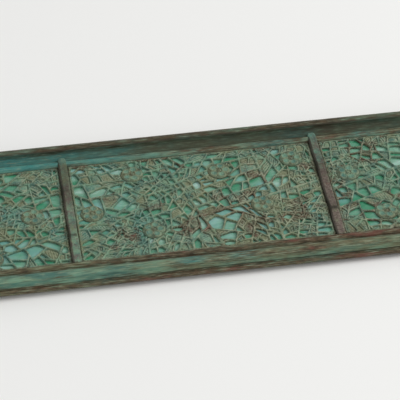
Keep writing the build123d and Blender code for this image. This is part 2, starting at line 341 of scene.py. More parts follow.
def finished_piece(name, points, faces, fields=None, uv=None, sharp=40, weld=False):
    """A mesh object from points in millimetres: outward faces, smooth but for edges above the sharp angle."""
    mesh = bpy.data.meshes.new(name)
    mesh.from_pydata((np.asarray(points) * MM).tolist(), [], [list(map(int, face)) for face in faces])
    for field, values in (fields or {}).items():
        mesh.attributes.new(field, "FLOAT", "POINT").data.foreach_set("value", np.asarray(values, np.float32))
    if uv is not None:
        corners = np.zeros(len(mesh.loops), int)
        mesh.loops.foreach_get("vertex_index", corners)
        mesh.uv_layers.new(name="UVMap").data.foreach_set("uv", (np.asarray(uv)[corners] * MM).ravel())
    shape = bmesh.new()
    shape.from_mesh(mesh)
    if weld:
        bmesh.ops.remove_doubles(shape, verts=shape.verts, dist=0.001 * MM)
    bmesh.ops.recalc_face_normals(shape, faces=shape.faces)
    shape.to_mesh(mesh)
    shape.free()
    mesh.polygons.foreach_set("use_smooth", np.ones(len(mesh.polygons), bool))
    mesh.set_sharp_from_angle(angle=math.radians(sharp))
    mesh.update()
    piece = bpy.data.objects.new(name, mesh)
    bpy.context.scene.collection.objects.link(piece)
    return piece


def take_place(piece, node, material):
    """Let a finished piece stand for a solid: it rides on the tray and wears its slot's finish."""
    piece.data.materials.clear()
    piece.data.materials.append(material)
    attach(piece, BODY)
    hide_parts(node)


# Materials


def add_node(tree, kind, inputs=None, stops=None, **settings):
    """Add one node: settings by name, inputs as values or as links, and a ramp's stops if it has any."""
    made = tree.nodes.new(kind)
    for setting, value in settings.items():
        setattr(made, setting, value)
    for socket, value in (inputs or {}).items():
        if isinstance(value, bpy.types.NodeSocket):
            tree.links.new(value, made.inputs[socket])
        else:
            made.inputs[socket].default_value = value
    if stops:
        elements = made.color_ramp.elements
        while len(elements) < len(stops):
            elements.new(0.5)
        for element, (position, colour) in zip(elements, stops):
            element.position = position
            element.color = colour if len(colour) == 4 else (*colour, 1.0)
    return made


def new_material(name):
    """An empty node material with its output."""
    material = bpy.data.materials.new(name)
    material.use_nodes = True
    tree = material.node_tree
    tree.nodes.clear()
    return material, tree, tree.nodes.new("ShaderNodeOutputMaterial")


def blend_colours(tree, factor, first, second):
    """Colour output of a Mix node, whose sockets 0, 6 and 7 are its factor and two colours or links."""
    first = first if isinstance(first, bpy.types.NodeSocket) else (*first, 1.0)
    second = second if isinstance(second, bpy.types.NodeSocket) else (*second, 1.0)
    inputs = {0: factor, 6: first, 7: second}
    return add_node(tree, "ShaderNodeMix", inputs, data_type="RGBA").outputs[2]


def patinated_bronze(name, look, bare, metal, grit, lengthwise=False, etched=False):
    """Cast or drawn bronze with a chemical patina, olive to blue green, that thins to brown oxide.

    The crust follows the piece's own patina field, its yellow green the olive field and its blue the teal
    field. The red oxide follows the rust field, the pale bloom the field of wear and painted highlights, and
    the dark colour the hollow field, which holds dirt and painted shade.
    Bare holds the two browns where the crust is gone, and grit is the strength of the fine marks. Lengthwise
    pieces carry drawing lines, drawn half a millimetre apart because real ones are too fine to show. Etched
    ones carry wavy lines across their hatch field. The pitches of the noises are millimetres.
    """
    material, tree, output = new_material(name)
    place = add_node(tree, "ShaderNodeTexCoord").outputs["UV" if lengthwise else "Object"]
    fields = {}
    for field in ("patina", "olive", "teal", "rust", "wear_and_sheen", "hollow", *(HATCHING if etched else ())):
        fields[field] = add_node(tree, "ShaderNodeAttribute", attribute_name=field).outputs["Fac"]

    def speckle(pitch_mm, detail, roughness=0.55, shrink=1.0):
        stretch = (shrink if lengthwise else 1.0, 1.0, 1.0)
        scale = tuple(part / (pitch_mm * MM) for part in stretch)
        mapped = add_node(tree, "ShaderNodeMapping", {"Vector": place, "Scale": scale}).outputs[0]
        inputs = {"Vector": mapped, "Scale": 1.0, "Detail": detail, "Roughness": roughness}
        return add_node(tree, "ShaderNodeTexNoise", inputs).outputs[0]

    def shifted(value, low, high, out_low=0.0, out_high=1.0):
        inputs = {"Value": value, 1: low, 2: high, 3: out_low, 4: out_high}
        return add_node(tree, "ShaderNodeMapRange", inputs, interpolation_type="SMOOTHSTEP").outputs[0]

    def combine(operation, first, second):
        return add_node(tree, "ShaderNodeMath", {0: first, 1: second}, operation=operation).outputs[0]

    def centred(value, weight):
        return combine("MULTIPLY", combine("SUBTRACT", value, 0.5), weight)

    clouds = speckle(11.0, 3.0, shrink=0.3)
    patches = speckle(4.5, 3.0, shrink=0.3)
    blooms = speckle(2.2, 4.0, 0.65, shrink=0.24)
    grains = speckle(0.9, 4.0, 0.65, shrink=0.3)
    lines = speckle(0.55, 4.0, 0.6, shrink=0.1)
    reds = speckle(2.6, 3.0, 0.6, shrink=0.3)
    if etched:
        turns = combine("MULTIPLY", fields["hatch"], 2 * math.pi * HATCH_SPAN / HATCH_PITCH)
        strokes = combine("SINE", combine("ADD", turns, centred(grains, 4.0)), 0.0)
        lines = combine("ADD", lines, combine("MULTIPLY", strokes, combine("MULTIPLY", fields["etch"], 0.25)))

    brown = blend_colours(tree, shifted(grains, 0.35, 0.65), *bare)
    rust = combine("ADD", fields["rust"], centred(reds, 2.4))
    red = blend_colours(tree, shifted(rust, 0.25, 0.75, 0.0, 0.8), brown, look.cuprite)
    green = blend_colours(tree, shifted(patches, 0.36, 0.64), look.deep_verdigris, look.verdigris)
    olive_share = combine("ADD", fields["olive"], combine("ADD", centred(clouds, 1.6), centred(grains, 0.8)))
    olive = blend_colours(tree, shifted(olive_share, 0.1, 0.9), green, look.olive)
    blue = blend_colours(tree, combine("ADD", fields["teal"], centred(blooms, 0.6)), olive, look.teal)
    texture = combine("ADD", centred(blooms, 0.8), centred(lines, 1.4 * grit))
    crust = shifted(combine("ADD", fields["patina"], texture), 0.0, 0.75)
    coat = blend_colours(tree, crust, red, blue)
    pale_lines = shifted(lines, 0.52, 0.7, 0.0, 0.5 * grit)
    dark_lines = shifted(lines, 0.3, 0.46, 0.4 * grit, 0.0)
    pale_grains = shifted(grains, 0.55, 0.75, 0.0, 0.2)
    # Pale bloom for wear and painted highlights, then the dark colour for dirt and painted shade.
    rubbed = shifted(combine("ADD", fields["wear_and_sheen"], centred(grains, 0.9)), 0.1, 1.0, 0.0, 0.8)
    pale = combine("MAXIMUM", rubbed, combine("MAXIMUM", pale_lines, pale_grains))
    ridged = blend_colours(tree, pale, coat, look.pale_bloom_and_sheen)
    dirt_and_shade_share = shifted(combine("ADD", fields["hollow"], centred(grains, 0.6)), 0.1, 1.0, 0.0, 0.85)
    colour = blend_colours(tree, combine("MAXIMUM", dirt_and_shade_share, dark_lines), ridged, look.dirt_and_shade_colour)

    height = combine("ADD", centred(lines, 1.2), centred(grains, 0.6))
    bump = add_node(tree, "ShaderNodeBump", {"Height": height, "Strength": 0.7, "Distance": 0.2 * grit * MM})
    inputs = {
        "Base Color": colour,
        "Metallic": shifted(crust, 0.0, 1.0, metal, 0.0),
        "Roughness": shifted(crust, 0.0, 1.0, 0.5, 0.78),
        "Specular IOR Level": 0.25,
        "Normal": bump.outputs[0],
    }
    shader = add_node(tree, "ShaderNodeBsdfPrincipled", inputs)
    tree.links.new(shader.outputs[0], output.inputs[0])
    return material


def shared_bronze(kind, *settings, **options):
    """The finish of one kind of bronze piece, made when it is first asked for."""
    key = f"patinated_bronze_{kind}"
    return bpy.data.materials.get(key) or patinated_bronze(key, *settings, **options)


def opalescent_glass(look):
    """Slag glass, poured and rolled: emerald with milky wisps, dense enough to hide what is under it."""
    material, tree, output = new_material("opalescent_slag_glass")
    place = add_node(tree, "ShaderNodeTexCoord").outputs["Object"]
    drift_inputs = {"Vector": place, "Scale": 1 / (16 * MM), "Detail": 2.0}
    drift = add_node(tree, "ShaderNodeTexNoise", drift_inputs)
    swirl_inputs = {0: drift.outputs["Color"], 1: (9 * MM, 9 * MM, 0), 2: place}
    swirl = add_node(tree, "ShaderNodeVectorMath", swirl_inputs, operation="MULTIPLY_ADD").outputs[0]
    turned = {"Vector": swirl, "Rotation": (0, 0, 0.5), "Scale": (0.45, 1.2, 1)}
    long_wisps = add_node(tree, "ShaderNodeMapping", turned).outputs[0]
    wisp_inputs = {"Vector": long_wisps, "Scale": 1 / (6 * MM), "Detail": 4.0, "Roughness": 0.55}
    wisps = add_node(tree, "ShaderNodeTexNoise", wisp_inputs)
    stops = [(0.38, look.emerald), (0.5, look.mid_glass), (0.6, look.pale_glass), (0.72, look.milk)]
    green = add_node(tree, "ShaderNodeValToRGB", {0: wisps.outputs[0]}, stops=stops).outputs[0]
    blue_inputs = {"Value": drift.outputs["Fac"], 1: 0.5, 2: 0.68, 3: 0.0, 4: 0.7}
    bluish = add_node(tree, "ShaderNodeMapRange", blue_inputs, interpolation_type="SMOOTHSTEP").outputs[0]
    colour = blend_colours(tree, bluish, green, look.blue_milk)
    inputs = {
        "Base Color": colour,
        "Roughness": 0.16,
        "IOR": 1.52,
        "Subsurface Weight": 0.3,
        "Subsurface Radius": (0.6, 1.4, 1.0),
        "Subsurface Scale": 1.2 * MM,
    }
    shader = add_node(tree, "ShaderNodeBsdfPrincipled", inputs)
    tree.links.new(shader.outputs[0], output.inputs[0])
    return material


def dull_metal(name, low, high, pitch_mm, metal, roughness):
    """Bronze or brass left to tarnish out of sight: two close tones in clouds, with a fine grain."""
    material, tree, output = new_material(name)
    place = add_node(tree, "ShaderNodeTexCoord").outputs["Object"]
    clouds_inputs = {"Vector": place, "Scale": 1 / (pitch_mm * MM), "Detail": 5.0, "Roughness": 0.62}
    clouds = add_node(tree, "ShaderNodeTexNoise", clouds_inputs).outputs[0]
    colour = add_node(tree, "ShaderNodeValToRGB", {0: clouds}, stops=[(0.36, low), (0.64, high)]).outputs[0]
    grain_inputs = {"Vector": place, "Scale": 1 / (0.5 * MM), "Detail": 3.0}
    grain = add_node(tree, "ShaderNodeTexNoise", grain_inputs).outputs[0]
    bump = add_node(tree, "ShaderNodeBump", {"Height": grain, "Strength": 0.35, "Distance": 0.08 * MM})
    inputs = {"Base Color": colour, "Metallic": metal, "Roughness": roughness, "Normal": bump.outputs[0]}
    shader = add_node(tree, "ShaderNodeBsdfPrincipled", inputs)
    tree.links.new(shader.outputs[0], output.inputs[0])
    return material


# Rim moulding


def moulding_section():
    """Outline of the moulding as insets and heights, the length around it, and which part of it shows.

    Arcs and lines run from the bead over the lip to the base, and then back through the hidden rebates.
    """
    shown = [
        arc((BEAD_INNER_INSET, LIP_TOP - SHEET_TOP - BEAD_EDGE_HEIGHT), BEAD_CREST, BEAD_OUTER, 20),
        arc(BEAD_OUTER, COVE_MIDDLE, COVE_TOP, 18),
        np.linspace(COVE_TOP, LIP_INNER, 5),
        arc(LIP_INNER, LIP_CROWN, LIP_OUTER, 18),
        arc(LIP_OUTER, FACE_MIDDLE, GROOVE_TOP, 16),
        arc(GROOVE_TOP, GROOVE_MIDDLE, GROOVE_LOW, 8),
        arc(GROOVE_LOW, BAND_MIDDLE, BAND_TOP, 6),
        np.linspace(BAND_TOP, BAND_LOW, 4),
        arc(BAND_LOW, BASE_ROUND_MIDDLE, (BASE_ROUND_INSET, LIP_TOP - FOOT_HEIGHT), 12),
    ]
    visible = np.concatenate([piece[:-1] for piece in shown])
    hidden = np.array(
        [
            (BASE_ROUND_INSET, LIP_TOP - FOOT_HEIGHT),
            (PLATE_REBATE_INSET, LIP_TOP - FOOT_HEIGHT),
            (PLATE_REBATE_INSET, LIP_TOP - PLATE_TOP),
            (GLASS_REBATE_INSET, LIP_TOP - PLATE_TOP),
            (GLASS_REBATE_INSET, LIP_TOP - SHEET_TOP),
            (BEAD_INNER_INSET, LIP_TOP - SHEET_TOP),
        ]
    )
    outline = np.concatenate([visible, hidden])
    steps = np.linalg.norm(np.diff(outline, axis=0), axis=1)
    around = np.concatenate([[0], np.cumsum(steps)])
    showing = np.concatenate([np.ones(len(visible)), np.zeros(len(hidden))])
    return outline[:, 0], LIP_TOP - outline[:, 1], around, showing


def section_normals(inset, height):
    """Outward unit vectors square to the outline, from the differences of its neighbouring points."""
    run = np.roll(inset, -1) - np.roll(inset, 1)
    rise = np.roll(height, -1) - np.roll(height, 1)
    size = np.hypot(run, rise)
    return rise / size, -run / size


def moulding_fields(inset, height, place_x, station, around, seed, tones):
    """Crust, colours, wear, dirt, painted highlights and painted shade over a rail: a bell or a step for each
    moulding member, broken by noise.

    A tone goes from its strength at the tray's left end to the one at its right end, and the change wanders.
    The brow is painted shade at the lip's inner edge, and the valley painted shade between the bead and the
    cove. The groove, the round under the base and the lip's inner wall get painted shade too, and the lip's
    shoulder and the bead's crest get wear with a painted highlight. Places are insets and drops in
    millimetres, a little to either side of the section's own points.
    """
    drop = LIP_TOP - height
    inner, outer = inset > 7.9, inset < 2.4
    members = {
        "bead": bell(inset, 9.8, 1.7) * inner,
        "cove": ease(inset, 4.6, 5.2) * (1 - ease(inset, 7.7, 8.4)),
        "lip": ease(inset, 1.2, 1.8) * (1 - ease(inset, 4.6, 4.9)) * (drop < 1.2),
        "face": ease(drop, 0.5, 0.9) * (1 - ease(drop, 3.0, 3.4)) * outer,
        "band": ease(drop, 3.7, 4.0) * outer,
    }
    rightness = ease(place_x + 14 * layered_noise(station / 30, around / 5, seed + 9, 2), -80, 25)

    def toned(quality):
        total = np.zeros(place_x.shape)
        for member, (left, right) in tones[quality].items():
            total += members[member] * (left + rightness * (right - left))
        return total

    def patches(kind):
        total = np.zeros(place_x.shape)
        for member, middle, half_length in tones[kind]:
            total += members[member] * bell(place_x, middle, half_length)
        return total

    rust, blue = patches("rust_patches"), patches("blue_patches")
    wear = 0.5 + 0.5 * layered_noise(station / 9, around / 1.2, seed + 7)
    # The lip's shoulder and the bead's crest: wear with a painted highlight.
    shoulder_wear_and_sheen = bell(inset, 3.3, 0.5) * (drop < 1.0)
    arris = bell(drop, 0.9, 0.3) * outer
    crest = bell(inset, BEAD_CREST[0], 0.6) * inner
    # Painted shade: in the groove, the valley, under the base, on the lip's inner wall and at its brow.
    groove_shade = bell(drop, 3.45, 0.34) * outer * (0.55 + 0.85 * rightness)
    valley_shade = tones["valley_shade"] * bell(inset, 8.2, 0.55) * (drop > 2.6)
    under = ease(drop, 5.6, 6.6)
    lip_wall_shade = ease(drop, 0.3, 0.8) * (1 - ease(drop, 1.6, 2.3)) * (np.abs(inset - LIP_INNER[0]) < 0.6)
    lip_wall_shade = lip_wall_shade * (1 - 0.35 * rightness)
    brow_shade = tones["brow_shade"] * ease(inset, 3.9, 4.7) * (drop < 0.6) * (inset < 5.0)
    drift = 0.2 * layered_noise(station / 26, around / 4.0, seed, 2)
    mottle = layered_noise(station / 7, around / 2.2, seed + 8, 3)
    fields = {
        "patina": 0.35 + drift + 0.2 * mottle + toned("patina") - 0.45 * np.clip(rust, 0, 1) * wear,
        "olive": 0.4 + toned("olive") - 0.25 * mottle,
        "teal": toned("teal") * (1 + 0.5 * mottle) + blue * (0.4 + 0.5 * wear),
        "rust": 0.7 * rust * wear,
        "wear_and_sheen": toned("wear_and_sheen") * (crest + shoulder_wear_and_sheen) * (0.4 + 0.6 * wear) + 0.15 * arris * wear,
        "hollow": 0.6 * groove_shade + valley_shade + 0.3 * under + 0.35 * lip_wall_shade + toned("dirt_and_shade") + brow_shade,
    }
    return {field: np.clip(values, 0, 1).ravel() for field, values in fields.items()}


def rail_surface(name, outward, half_run, half_depth, seed, tones, relief):
    """The moulding's section carried along one side of the tray.

    A point is outward * (half_depth - inset) + along * t * (half_run - inset) + up * height, t from -1 to 1,
    so both ends lie on the mitres. It is then pushed along the section's normal by drawing lines, dents and
    pits, which mostly go inwards and die out at the mitres.
    """
    inset, height, around, showing = moulding_section()
    stations = np.linspace(-1, 1, int(half_run / RAIL_STEP) + 1)
    t, _ = np.meshgrid(stations, inset, indexing="ij")
    reach = half_run - inset[None, :]
    station = t * reach
    normal_in, normal_up = section_normals(inset, height)
    span = np.broadcast_to(around, t.shape)
    lines = DRAWING_LINE_DEPTH * layered_noise(station / 60, span / 0.42, seed + 1, 2)
    dents = DENT_DEPTH * layered_noise(station / 6.0, span / 2.4, seed + 2, 3)
    pits = PIT_DEPTH * smooth_noise(station / 1.1, span / 0.8, seed + 3)
    push = relief * (lines + dents + pits) * showing
    push = push * ease(reach - np.abs(station), 0.0, 1.5)
    push = np.minimum(push, 0.0) + np.maximum(push, 0.0) * 0.3 - PIT_DEPTH * showing
    deep = half_depth - inset - normal_in * push
    high = height + normal_up * push
    outward = np.array([*outward, 0.0])
    along = np.cross(outward, [0, 0, 1])
    points = outward * deep[..., None] + along * station[..., None] + np.array([0, 0, 1.0]) * high[..., None]
    rows, columns = t.shape
    faces = [*ring_faces(rows, columns), np.arange(columns), np.arange(columns) + (rows - 1) * columns]
    insets, heights = np.broadcast_to(inset, t.shape), np.broadcast_to(height, t.shape)
    fields = moulding_fields(insets, heights, points[..., 0], station, span, seed, tones)
    uv = np.stack([station + 100 * seed, span], -1).reshape(-1, 2)
    return finished_piece(name, points.reshape(-1, 3), faces, fields, uv)


# Openwork


def polygon_area(points):
    """Area of a polygon by the shoelace rule."""
    following = points[1:] + points[:1]
    return abs(sum(p[0] * q[1] - q[0] * p[1] for p, q in zip(points, following))) / 2


def wanted_cell_area(corners, seed):
    """Area at which a cell stops splitting: two crossed waves make patches of fine and of coarse ice."""
    x = sum(x for x, _ in corners) / len(corners)
    y = sum(y for _, y in corners) / len(corners)
    bend = math.sin(y / COARSE_PATCH_Y)
    wave = math.sin(x / COARSE_PATCH_X + bend + seed) * math.cos(y / COARSE_PATCH_Y + seed)
    return FINEST_CELL_AREA + (COARSEST_CELL_AREA - FINEST_CELL_AREA) * (0.5 + 0.5 * wave) ** 2


def crack(cell, chance, seed, level=0):
    """Split a cell again and again, as thin ice cracks, until its pieces are small.

    A cell is a list of corners in order. Each corner goes with half the width of the bar that runs from it
    to the next one. A crack joins a point on a long side to one on a side that doesn't touch it.
    """
    corners = [corner for corner, _ in cell]
    count = len(cell)
    if polygon_area(corners) < wanted_cell_area(corners, seed) * chance.uniform(0.7, 1.3):
        return [cell]

    def length(side):
        return math.dist(corners[side], corners[(side + 1) % count])

    def along(side, share):
        (x0, y0), (x1, y1) = corners[side], corners[(side + 1) % count]
        return (x0 + share * (x1 - x0), y0 + share * (y1 - y0))

    first = max(range(count), key=lambda side: length(side) * chance.uniform(0.75, 1.0))
    apart = [side for side in range(count) if side != first]
    if count > 4:
        apart = [side for side in apart if (side - first) % count not in (1, count - 1)]
    second = max(apart, key=lambda side: length(side) * chance.uniform(0.4, 1.0))
    start = along(first, chance.uniform(0.36, 0.64))
    finish = along(second, chance.uniform(0.3, 0.7))
    half_bar = (MAIN_BAR_WIDTH if level < MAIN_BAR_LEVELS else FINE_BAR_WIDTH) / 2
    pieces = []
    for side_a, side_b, point_a, point_b in ((first, second, start, finish), (second, first, finish, start)):
        steps = (side_b - side_a) % count
        between = [cell[(side_a + step) % count] for step in range(1, steps + 1)]
        pieces.append([(point_a, cell[side_a][1])] + between + [(point_b, half_bar)])
    return crack(pieces[0], chance, seed, level + 1) + crack(pieces[1], chance, seed, level + 1)


def opening_of(cell):
    """The hole left in a cell once each side has moved in by half its bar: one clip of the polygon a side."""
    corners = [corner for corner, _ in cell]
    opening = corners
    for (x0, y0), (x1, y1), half_bar in zip(corners, corners[1:] + corners[:1], [bar for _, bar in cell]):
        run = math.dist((x0, y0), (x1, y1))
        depths = [((y - y0) * (x1 - x0) - (x - x0) * (y1 - y0)) / run - half_bar for x, y in opening]
        clipped = []
        for index, depth in enumerate(depths):
            following = (index + 1) % len(opening)
            if depth >= 0:
                clipped.append(opening[index])
            if (depth >= 0) != (depths[following] >= 0):
                share = depth / (depth - depths[following])
                (xa, ya), (xb, yb) = opening[index], opening[following]
                clipped.append((xa + share * (xb - xa), ya + share * (yb - ya)))
        opening = clipped
        if len(opening) < 3:
            return []
    return opening


def is_pierced(opening, chance):
    """Whether a cell goes right through. The others are blind: etched below the bars, and closed."""
    blind_share = SMALL_BLIND_SHARE if polygon_area(opening) < SMALL_HOLE_AREA else LARGE_BLIND_SHARE
    return chance.random() > blind_share


def cracked_ice(x_low, x_high, y_low, y_high, seed):
    """Cells of one panel, each with its opening and whether it is pierced, and the blossoms' centres.

    The draws are in the same order as for the solid panel.
    """
    chance = random.Random(seed)
    outline = [(x_low, y_low), (x_high, y_low), (x_high, y_high), (x_low, y_high)]
    cells = crack([(corner, BORDER_WIDTH) for corner in outline], chance, seed)
    openings = [opening_of(cell) for cell in cells]
    pierced = []
    for opening in openings:
        large = bool(opening) and polygon_area(opening) > SMALLEST_HOLE_AREA
        pierced.append(large and is_pierced(opening, chance))
    crossings = sorted({(round(x, 4), round(y, 4)) for cell in cells for (x, y), _ in cell})
    every_crossing = np.array(crossings)
    chance.shuffle(crossings)
    blossoms = []
    for x, y in crossings:
        inside_x = x_low + BLOSSOM_EDGE_DISTANCE < x < x_high - BLOSSOM_EDGE_DISTANCE
        inside_y = y_low + BLOSSOM_EDGE_DISTANCE < y < y_high - BLOSSOM_EDGE_DISTANCE
        clear = all(math.dist((x, y), other) > BLOSSOM_SPACING for other in blossoms)
        if inside_x and inside_y and clear:
            blossoms.append((x, y))
    return list(zip(cells, openings, pierced)), every_crossing, blossoms


def cell_outline(cell, crossings):
    """Points round a cell: its corners, every crossing on its sides, and even steps between them.

    Two cells that share a side get the same points on it, so their surfaces join.
    """
    corners = np.round([corner for corner, _ in cell], 4)
    points = []
    for start, finish in zip(corners, np.roll(corners, -1, axis=0)):
        run = finish - start
        length = np.linalg.norm(run)
        forward = (crossings - start) @ run / length
        aside = (crossings[:, 0] - start[0]) * run[1] - (crossings[:, 1] - start[1]) * run[0]
        inside = (forward > TOUCHING) & (forward < length - TOUCHING)
        on_side = (np.abs(aside) / length < TOUCHING) & inside
        between = crossings[on_side][np.argsort(forward[on_side])]
        stops = np.concatenate([[start], between, [finish]])
        for low, high in zip(stops[:-1], stops[1:]):
            steps = math.ceil(np.linalg.norm(high - low) / OUTLINE_STEP)
            points.append(low + (high - low) * np.linspace(0, 1, steps, endpoint=False)[:, None])
    return np.concatenate(points)


def rounded_opening(outline, opening):
    """Middle of an opening, and where the rays from it to the cell's outline cross its rounded edge.

    A ray with slope b against a side at distance a crosses that side at a/b of its length. With every side
    at once it stops at 1 / (sum of (b/a)^8)^(1/8), which rounds the corners. A cell with no opening left
    gets a small one of the cell's own shape.
    """
    if not opening:
        centre = outline.mean(0)
        return centre, centre + 0.25 * (outline - centre)
    corners = np.array(opening)
    sides = np.roll(corners, -1, axis=0) - corners
    lengths = np.linalg.norm(sides, axis=1)
    real = lengths > TOUCHING
    corners, sides, lengths = corners[real], sides[real], lengths[real]
    outwards = np.stack([sides[:, 1], -sides[:, 0]], 1) / lengths[:, None]
    centre = corners.mean(0)
    apart = ((corners - centre) * outwards).sum(1)
    rays = outline - centre
    steep = np.maximum(rays @ outwards.T, 0) / apart
    return centre, centre + rays / ((steep**8).sum(1) ** (1 / 8))[:, None]


def cell_rings(outline, opening, pierced):
    """One cell as rings of points, from the crest of the bars round it inwards.

    Returns the rings, and for each ring how far down the bar it lies, how far into the pad, and whether it
    is on the underside. A pierced cell goes down the hole's wall and back out below, a blind one inwards.
    """
    centre, edge = rounded_opening(outline, opening)
    rings = [outline + share * (edge - outline) for share in DOWN_BAR]
    on_bar, on_pad = len(DOWN_BAR), len(INTO_PAD)
    if pierced:
        rings += [edge, outline]
        return np.stack(rings), DOWN_BAR + [1.0, 0.0], [0.0] * (on_bar + 2), [0] * on_bar + [1, 1]
    rings += [edge + share * (centre - edge) for share in INTO_PAD]
    return np.stack(rings), DOWN_BAR + [1.0] * on_pad, [0.0] * on_bar + INTO_PAD, [0] * (on_bar + on_pad)


def blossom_shell(centre):
    """A plum blossom in relief on its own disc, as rings of points and their shares of brim, dish and centre.

    A petal is a shallow dish: its height rises by 1 - (1 - depth / brim width)^2 from its edge to a rounded
    brim and sinks again inside. A crease runs down its middle. Five lie round a small dome with a ring of
    stamens. The rings go from the middle to the disc's rounded edge, down it and back in below.
    """
    edge = BLOSSOM_DISC_RADIUS
    radii = np.concatenate([[0.05], np.linspace(0.2, edge - BLOSSOM_EDGE_ROUND, BLOSSOM_RINGS)])
    angle = np.linspace(0, 2 * math.pi, BLOSSOM_FACETS, endpoint=False)
    radius, turn = np.meshgrid(radii, angle, indexing="ij")
    height, brim, dish = (np.zeros(radius.shape) for _ in range(3))
    for petal in range(PETAL_COUNT):
        off = turn - 2 * math.pi * petal / PETAL_COUNT
        out, aside = radius * np.cos(off), radius * np.sin(off)
        depth = PETAL_RADIUS - np.hypot(out - PETAL_RING_RADIUS, aside)
        bowl = ease(depth, 0.35, 1.2)
        rise = PETAL_RISE * (1 - (1 - np.clip(depth / PETAL_BRIM_WIDTH, 0, 1)) ** 2)
        crease = PETAL_CREASE * bell(aside, 0, 0.25) * bowl
        petal_height = rise - PETAL_DISH * bowl - crease
        higher = (depth > 0) & (petal_height > height)
        height = np.where(higher, petal_height, height)
        brim = np.where(higher, 1 - bowl, brim)
        dish = np.where(higher, bowl, dish)
    eye = EYE_RISE * np.sqrt(np.clip(1 - (radius / BLOSSOM_EYE_RADIUS) ** 2, 0, 1))
    ring = bell(radius, STAMEN_RING_RADIUS, 0.2)
    stamens = np.clip(0.5 + 0.5 * np.cos(2 * PETAL_COUNT * turn), 0, 1) * ring
    inner = radius < BLOSSOM_CENTRE_RADIUS
    boss = np.maximum(eye, 0.05 + STAMEN_RISE * stamens)
    height = SHEET_TOP + BLOSSOM_FLOOR + np.where(inner, boss, height)
    brim = np.where(inner, stamens + (radius < 0.5), brim)
    rim = arc((edge - BLOSSOM_EDGE_ROUND, BLOSSOM_FLOOR), (edge - 0.07, -0.02), (edge, -0.25), 3)
    rim_radii = np.concatenate([rim[1:, 0], [edge]])
    rim_heights = np.concatenate([SHEET_TOP + rim[1:, 1], [GLASS_TOP]])
    rim_shape = (len(rim_radii), BLOSSOM_FACETS)
    radius = np.concatenate([radius, np.broadcast_to(rim_radii[:, None], rim_shape)])
    height = np.concatenate([height, np.broadcast_to(rim_heights[:, None], rim_shape)])
    brim, dish = (np.concatenate([share, np.zeros(rim_shape)]) for share in (brim, dish))
    points = np.stack([centre[0] + radius * np.cos(angle), centre[1] + radius * np.sin(angle), height], -1)
    return points, brim, dish, np.broadcast_to(radius < BLOSSOM_CENTRE_RADIUS, height.shape)


def border_distance(x, y, panel):
    """Distance to the nearest edge of a panel's visible rectangle, given as its ends and half its width."""
    seen_low, seen_high, half_width = panel
    return np.minimum(half_width - np.abs(y), np.minimum(x - seen_low, seen_high - x))


def border_walls(outline, panel, top, bottom):
    """Quads from a cell's crest ring down to its lowest ring, wherever its outline lies on the border."""
    x, y = ((outline + np.roll(outline, -1, axis=0)) / 2).T
    step = np.flatnonzero(border_distance(x, y, panel) < TOUCHING)
    after = (step + 1) % len(outline)
    return np.stack([top + step, top + after, bottom + after, bottom + step], 1)


def openwork_plan(cells, crossings, panel, seed):
    """Every cell's rings laid out flat, each point with its place in its cell and its cell's own values.

    Returns x and y, the values by name, the faces and the count of points. A blind cell has one face over
    its pad and one below.
    """
    draw = np.random.default_rng(seed)
    plans, values, faces, first = [], [], [], 0
    for cell, opening, pierced in cells:
        outline = cell_outline(cell, crossings)
        rings, down_bar, into, under = cell_rings(outline, opening, pierced)
        count, around = rings.shape[:2]
        tone, tint, swell = draw.uniform(-1, 1), draw.uniform(-1, 1), draw.uniform(0.0, 0.4)
        heading, etching = draw.uniform(0, math.pi), draw.uniform(0.1, 1.0)
        own = [tone, tint, swell, math.cos(heading), math.sin(heading), etching]
        plans.append(rings.reshape(-1, 2))
        places = np.stack([np.repeat(place, around) for place in (down_bar, into, under)], 1)
        values.append(np.concatenate([places, np.broadcast_to(own, (len(places), len(own)))], 1))
        faces += [*ring_faces(count, around, first)]
        bottom = first + (count - 1) * around
        if not pierced:
            faces.append(np.arange(around) + bottom)
            bottom += around
            plans.append(outline)
            below = [0.0, 0.0, 1.0, *own]
            values.append(np.broadcast_to(below, (around, len(below))))
            faces.append(np.arange(around) + bottom)
        faces += [*border_walls(outline, panel, first, bottom)]
        first = bottom + around
    x, y = np.concatenate(plans).T
    names = ("down_bar", "into", "under", "tone", "tint", "swell", "hatch_x", "hatch_y", "etching")
    return x, y, dict(zip(names, np.concatenate(values).T)), faces, first


def openwork_points(x, y, place, panel, blossoms, seed, relief):
    """Points of the sheet above its plan.

    From its crest a bar falls by the square root of 1 - s^2 to its foot at s = 1. Past a narrow groove the
    floor of a blind cell is a raised pad with a bevelled edge, each of its own height. The relief sinks
    away at the panel's border and under the blossoms. Low noise makes the pattern wander sideways.
    """
    to_border = border_distance(x, y, panel)
    shown = ease(to_border, 0, 0.6)
    wander = 0.2 * ease(to_border, 0, 1.5)
    shift_x, shift_y = (wander * smooth_noise(x / 3.1, y / 3.1, seed + layer) for layer in (40, 41))
    to_blossom = np.full(x.shape, math.inf)
    for bx, by in blossoms:
        to_blossom = np.minimum(to_blossom, np.hypot(x - bx, y - by))
    covered = 1 - ease(to_blossom, BLOSSOM_DISC_RADIUS, BLOSSOM_DISC_RADIUS + 0.6)
    into = place["into"]
    crown = np.sqrt(np.clip(1 - place["down_bar"] ** 2, 0, 1))
    pad = BLIND_FLOOR + place["swell"] * ease(into, INTO_PAD[0], INTO_PAD[1])
    height = np.where(into > 0, pad, BAR_FOOT + (BAR_CREST - BAR_FOOT) * crown)
    height += BAR_WAVE_DEPTH * layered_noise(x / 2.8, y / 2.8, seed + 42)
    height = relief * height * shown * (1 - covered) - 0.25 * covered
    z = np.where(place["under"] == 1, GLASS_TOP, SHEET_TOP + height)
    return np.stack([x + shift_x, y + shift_y, z], 1)


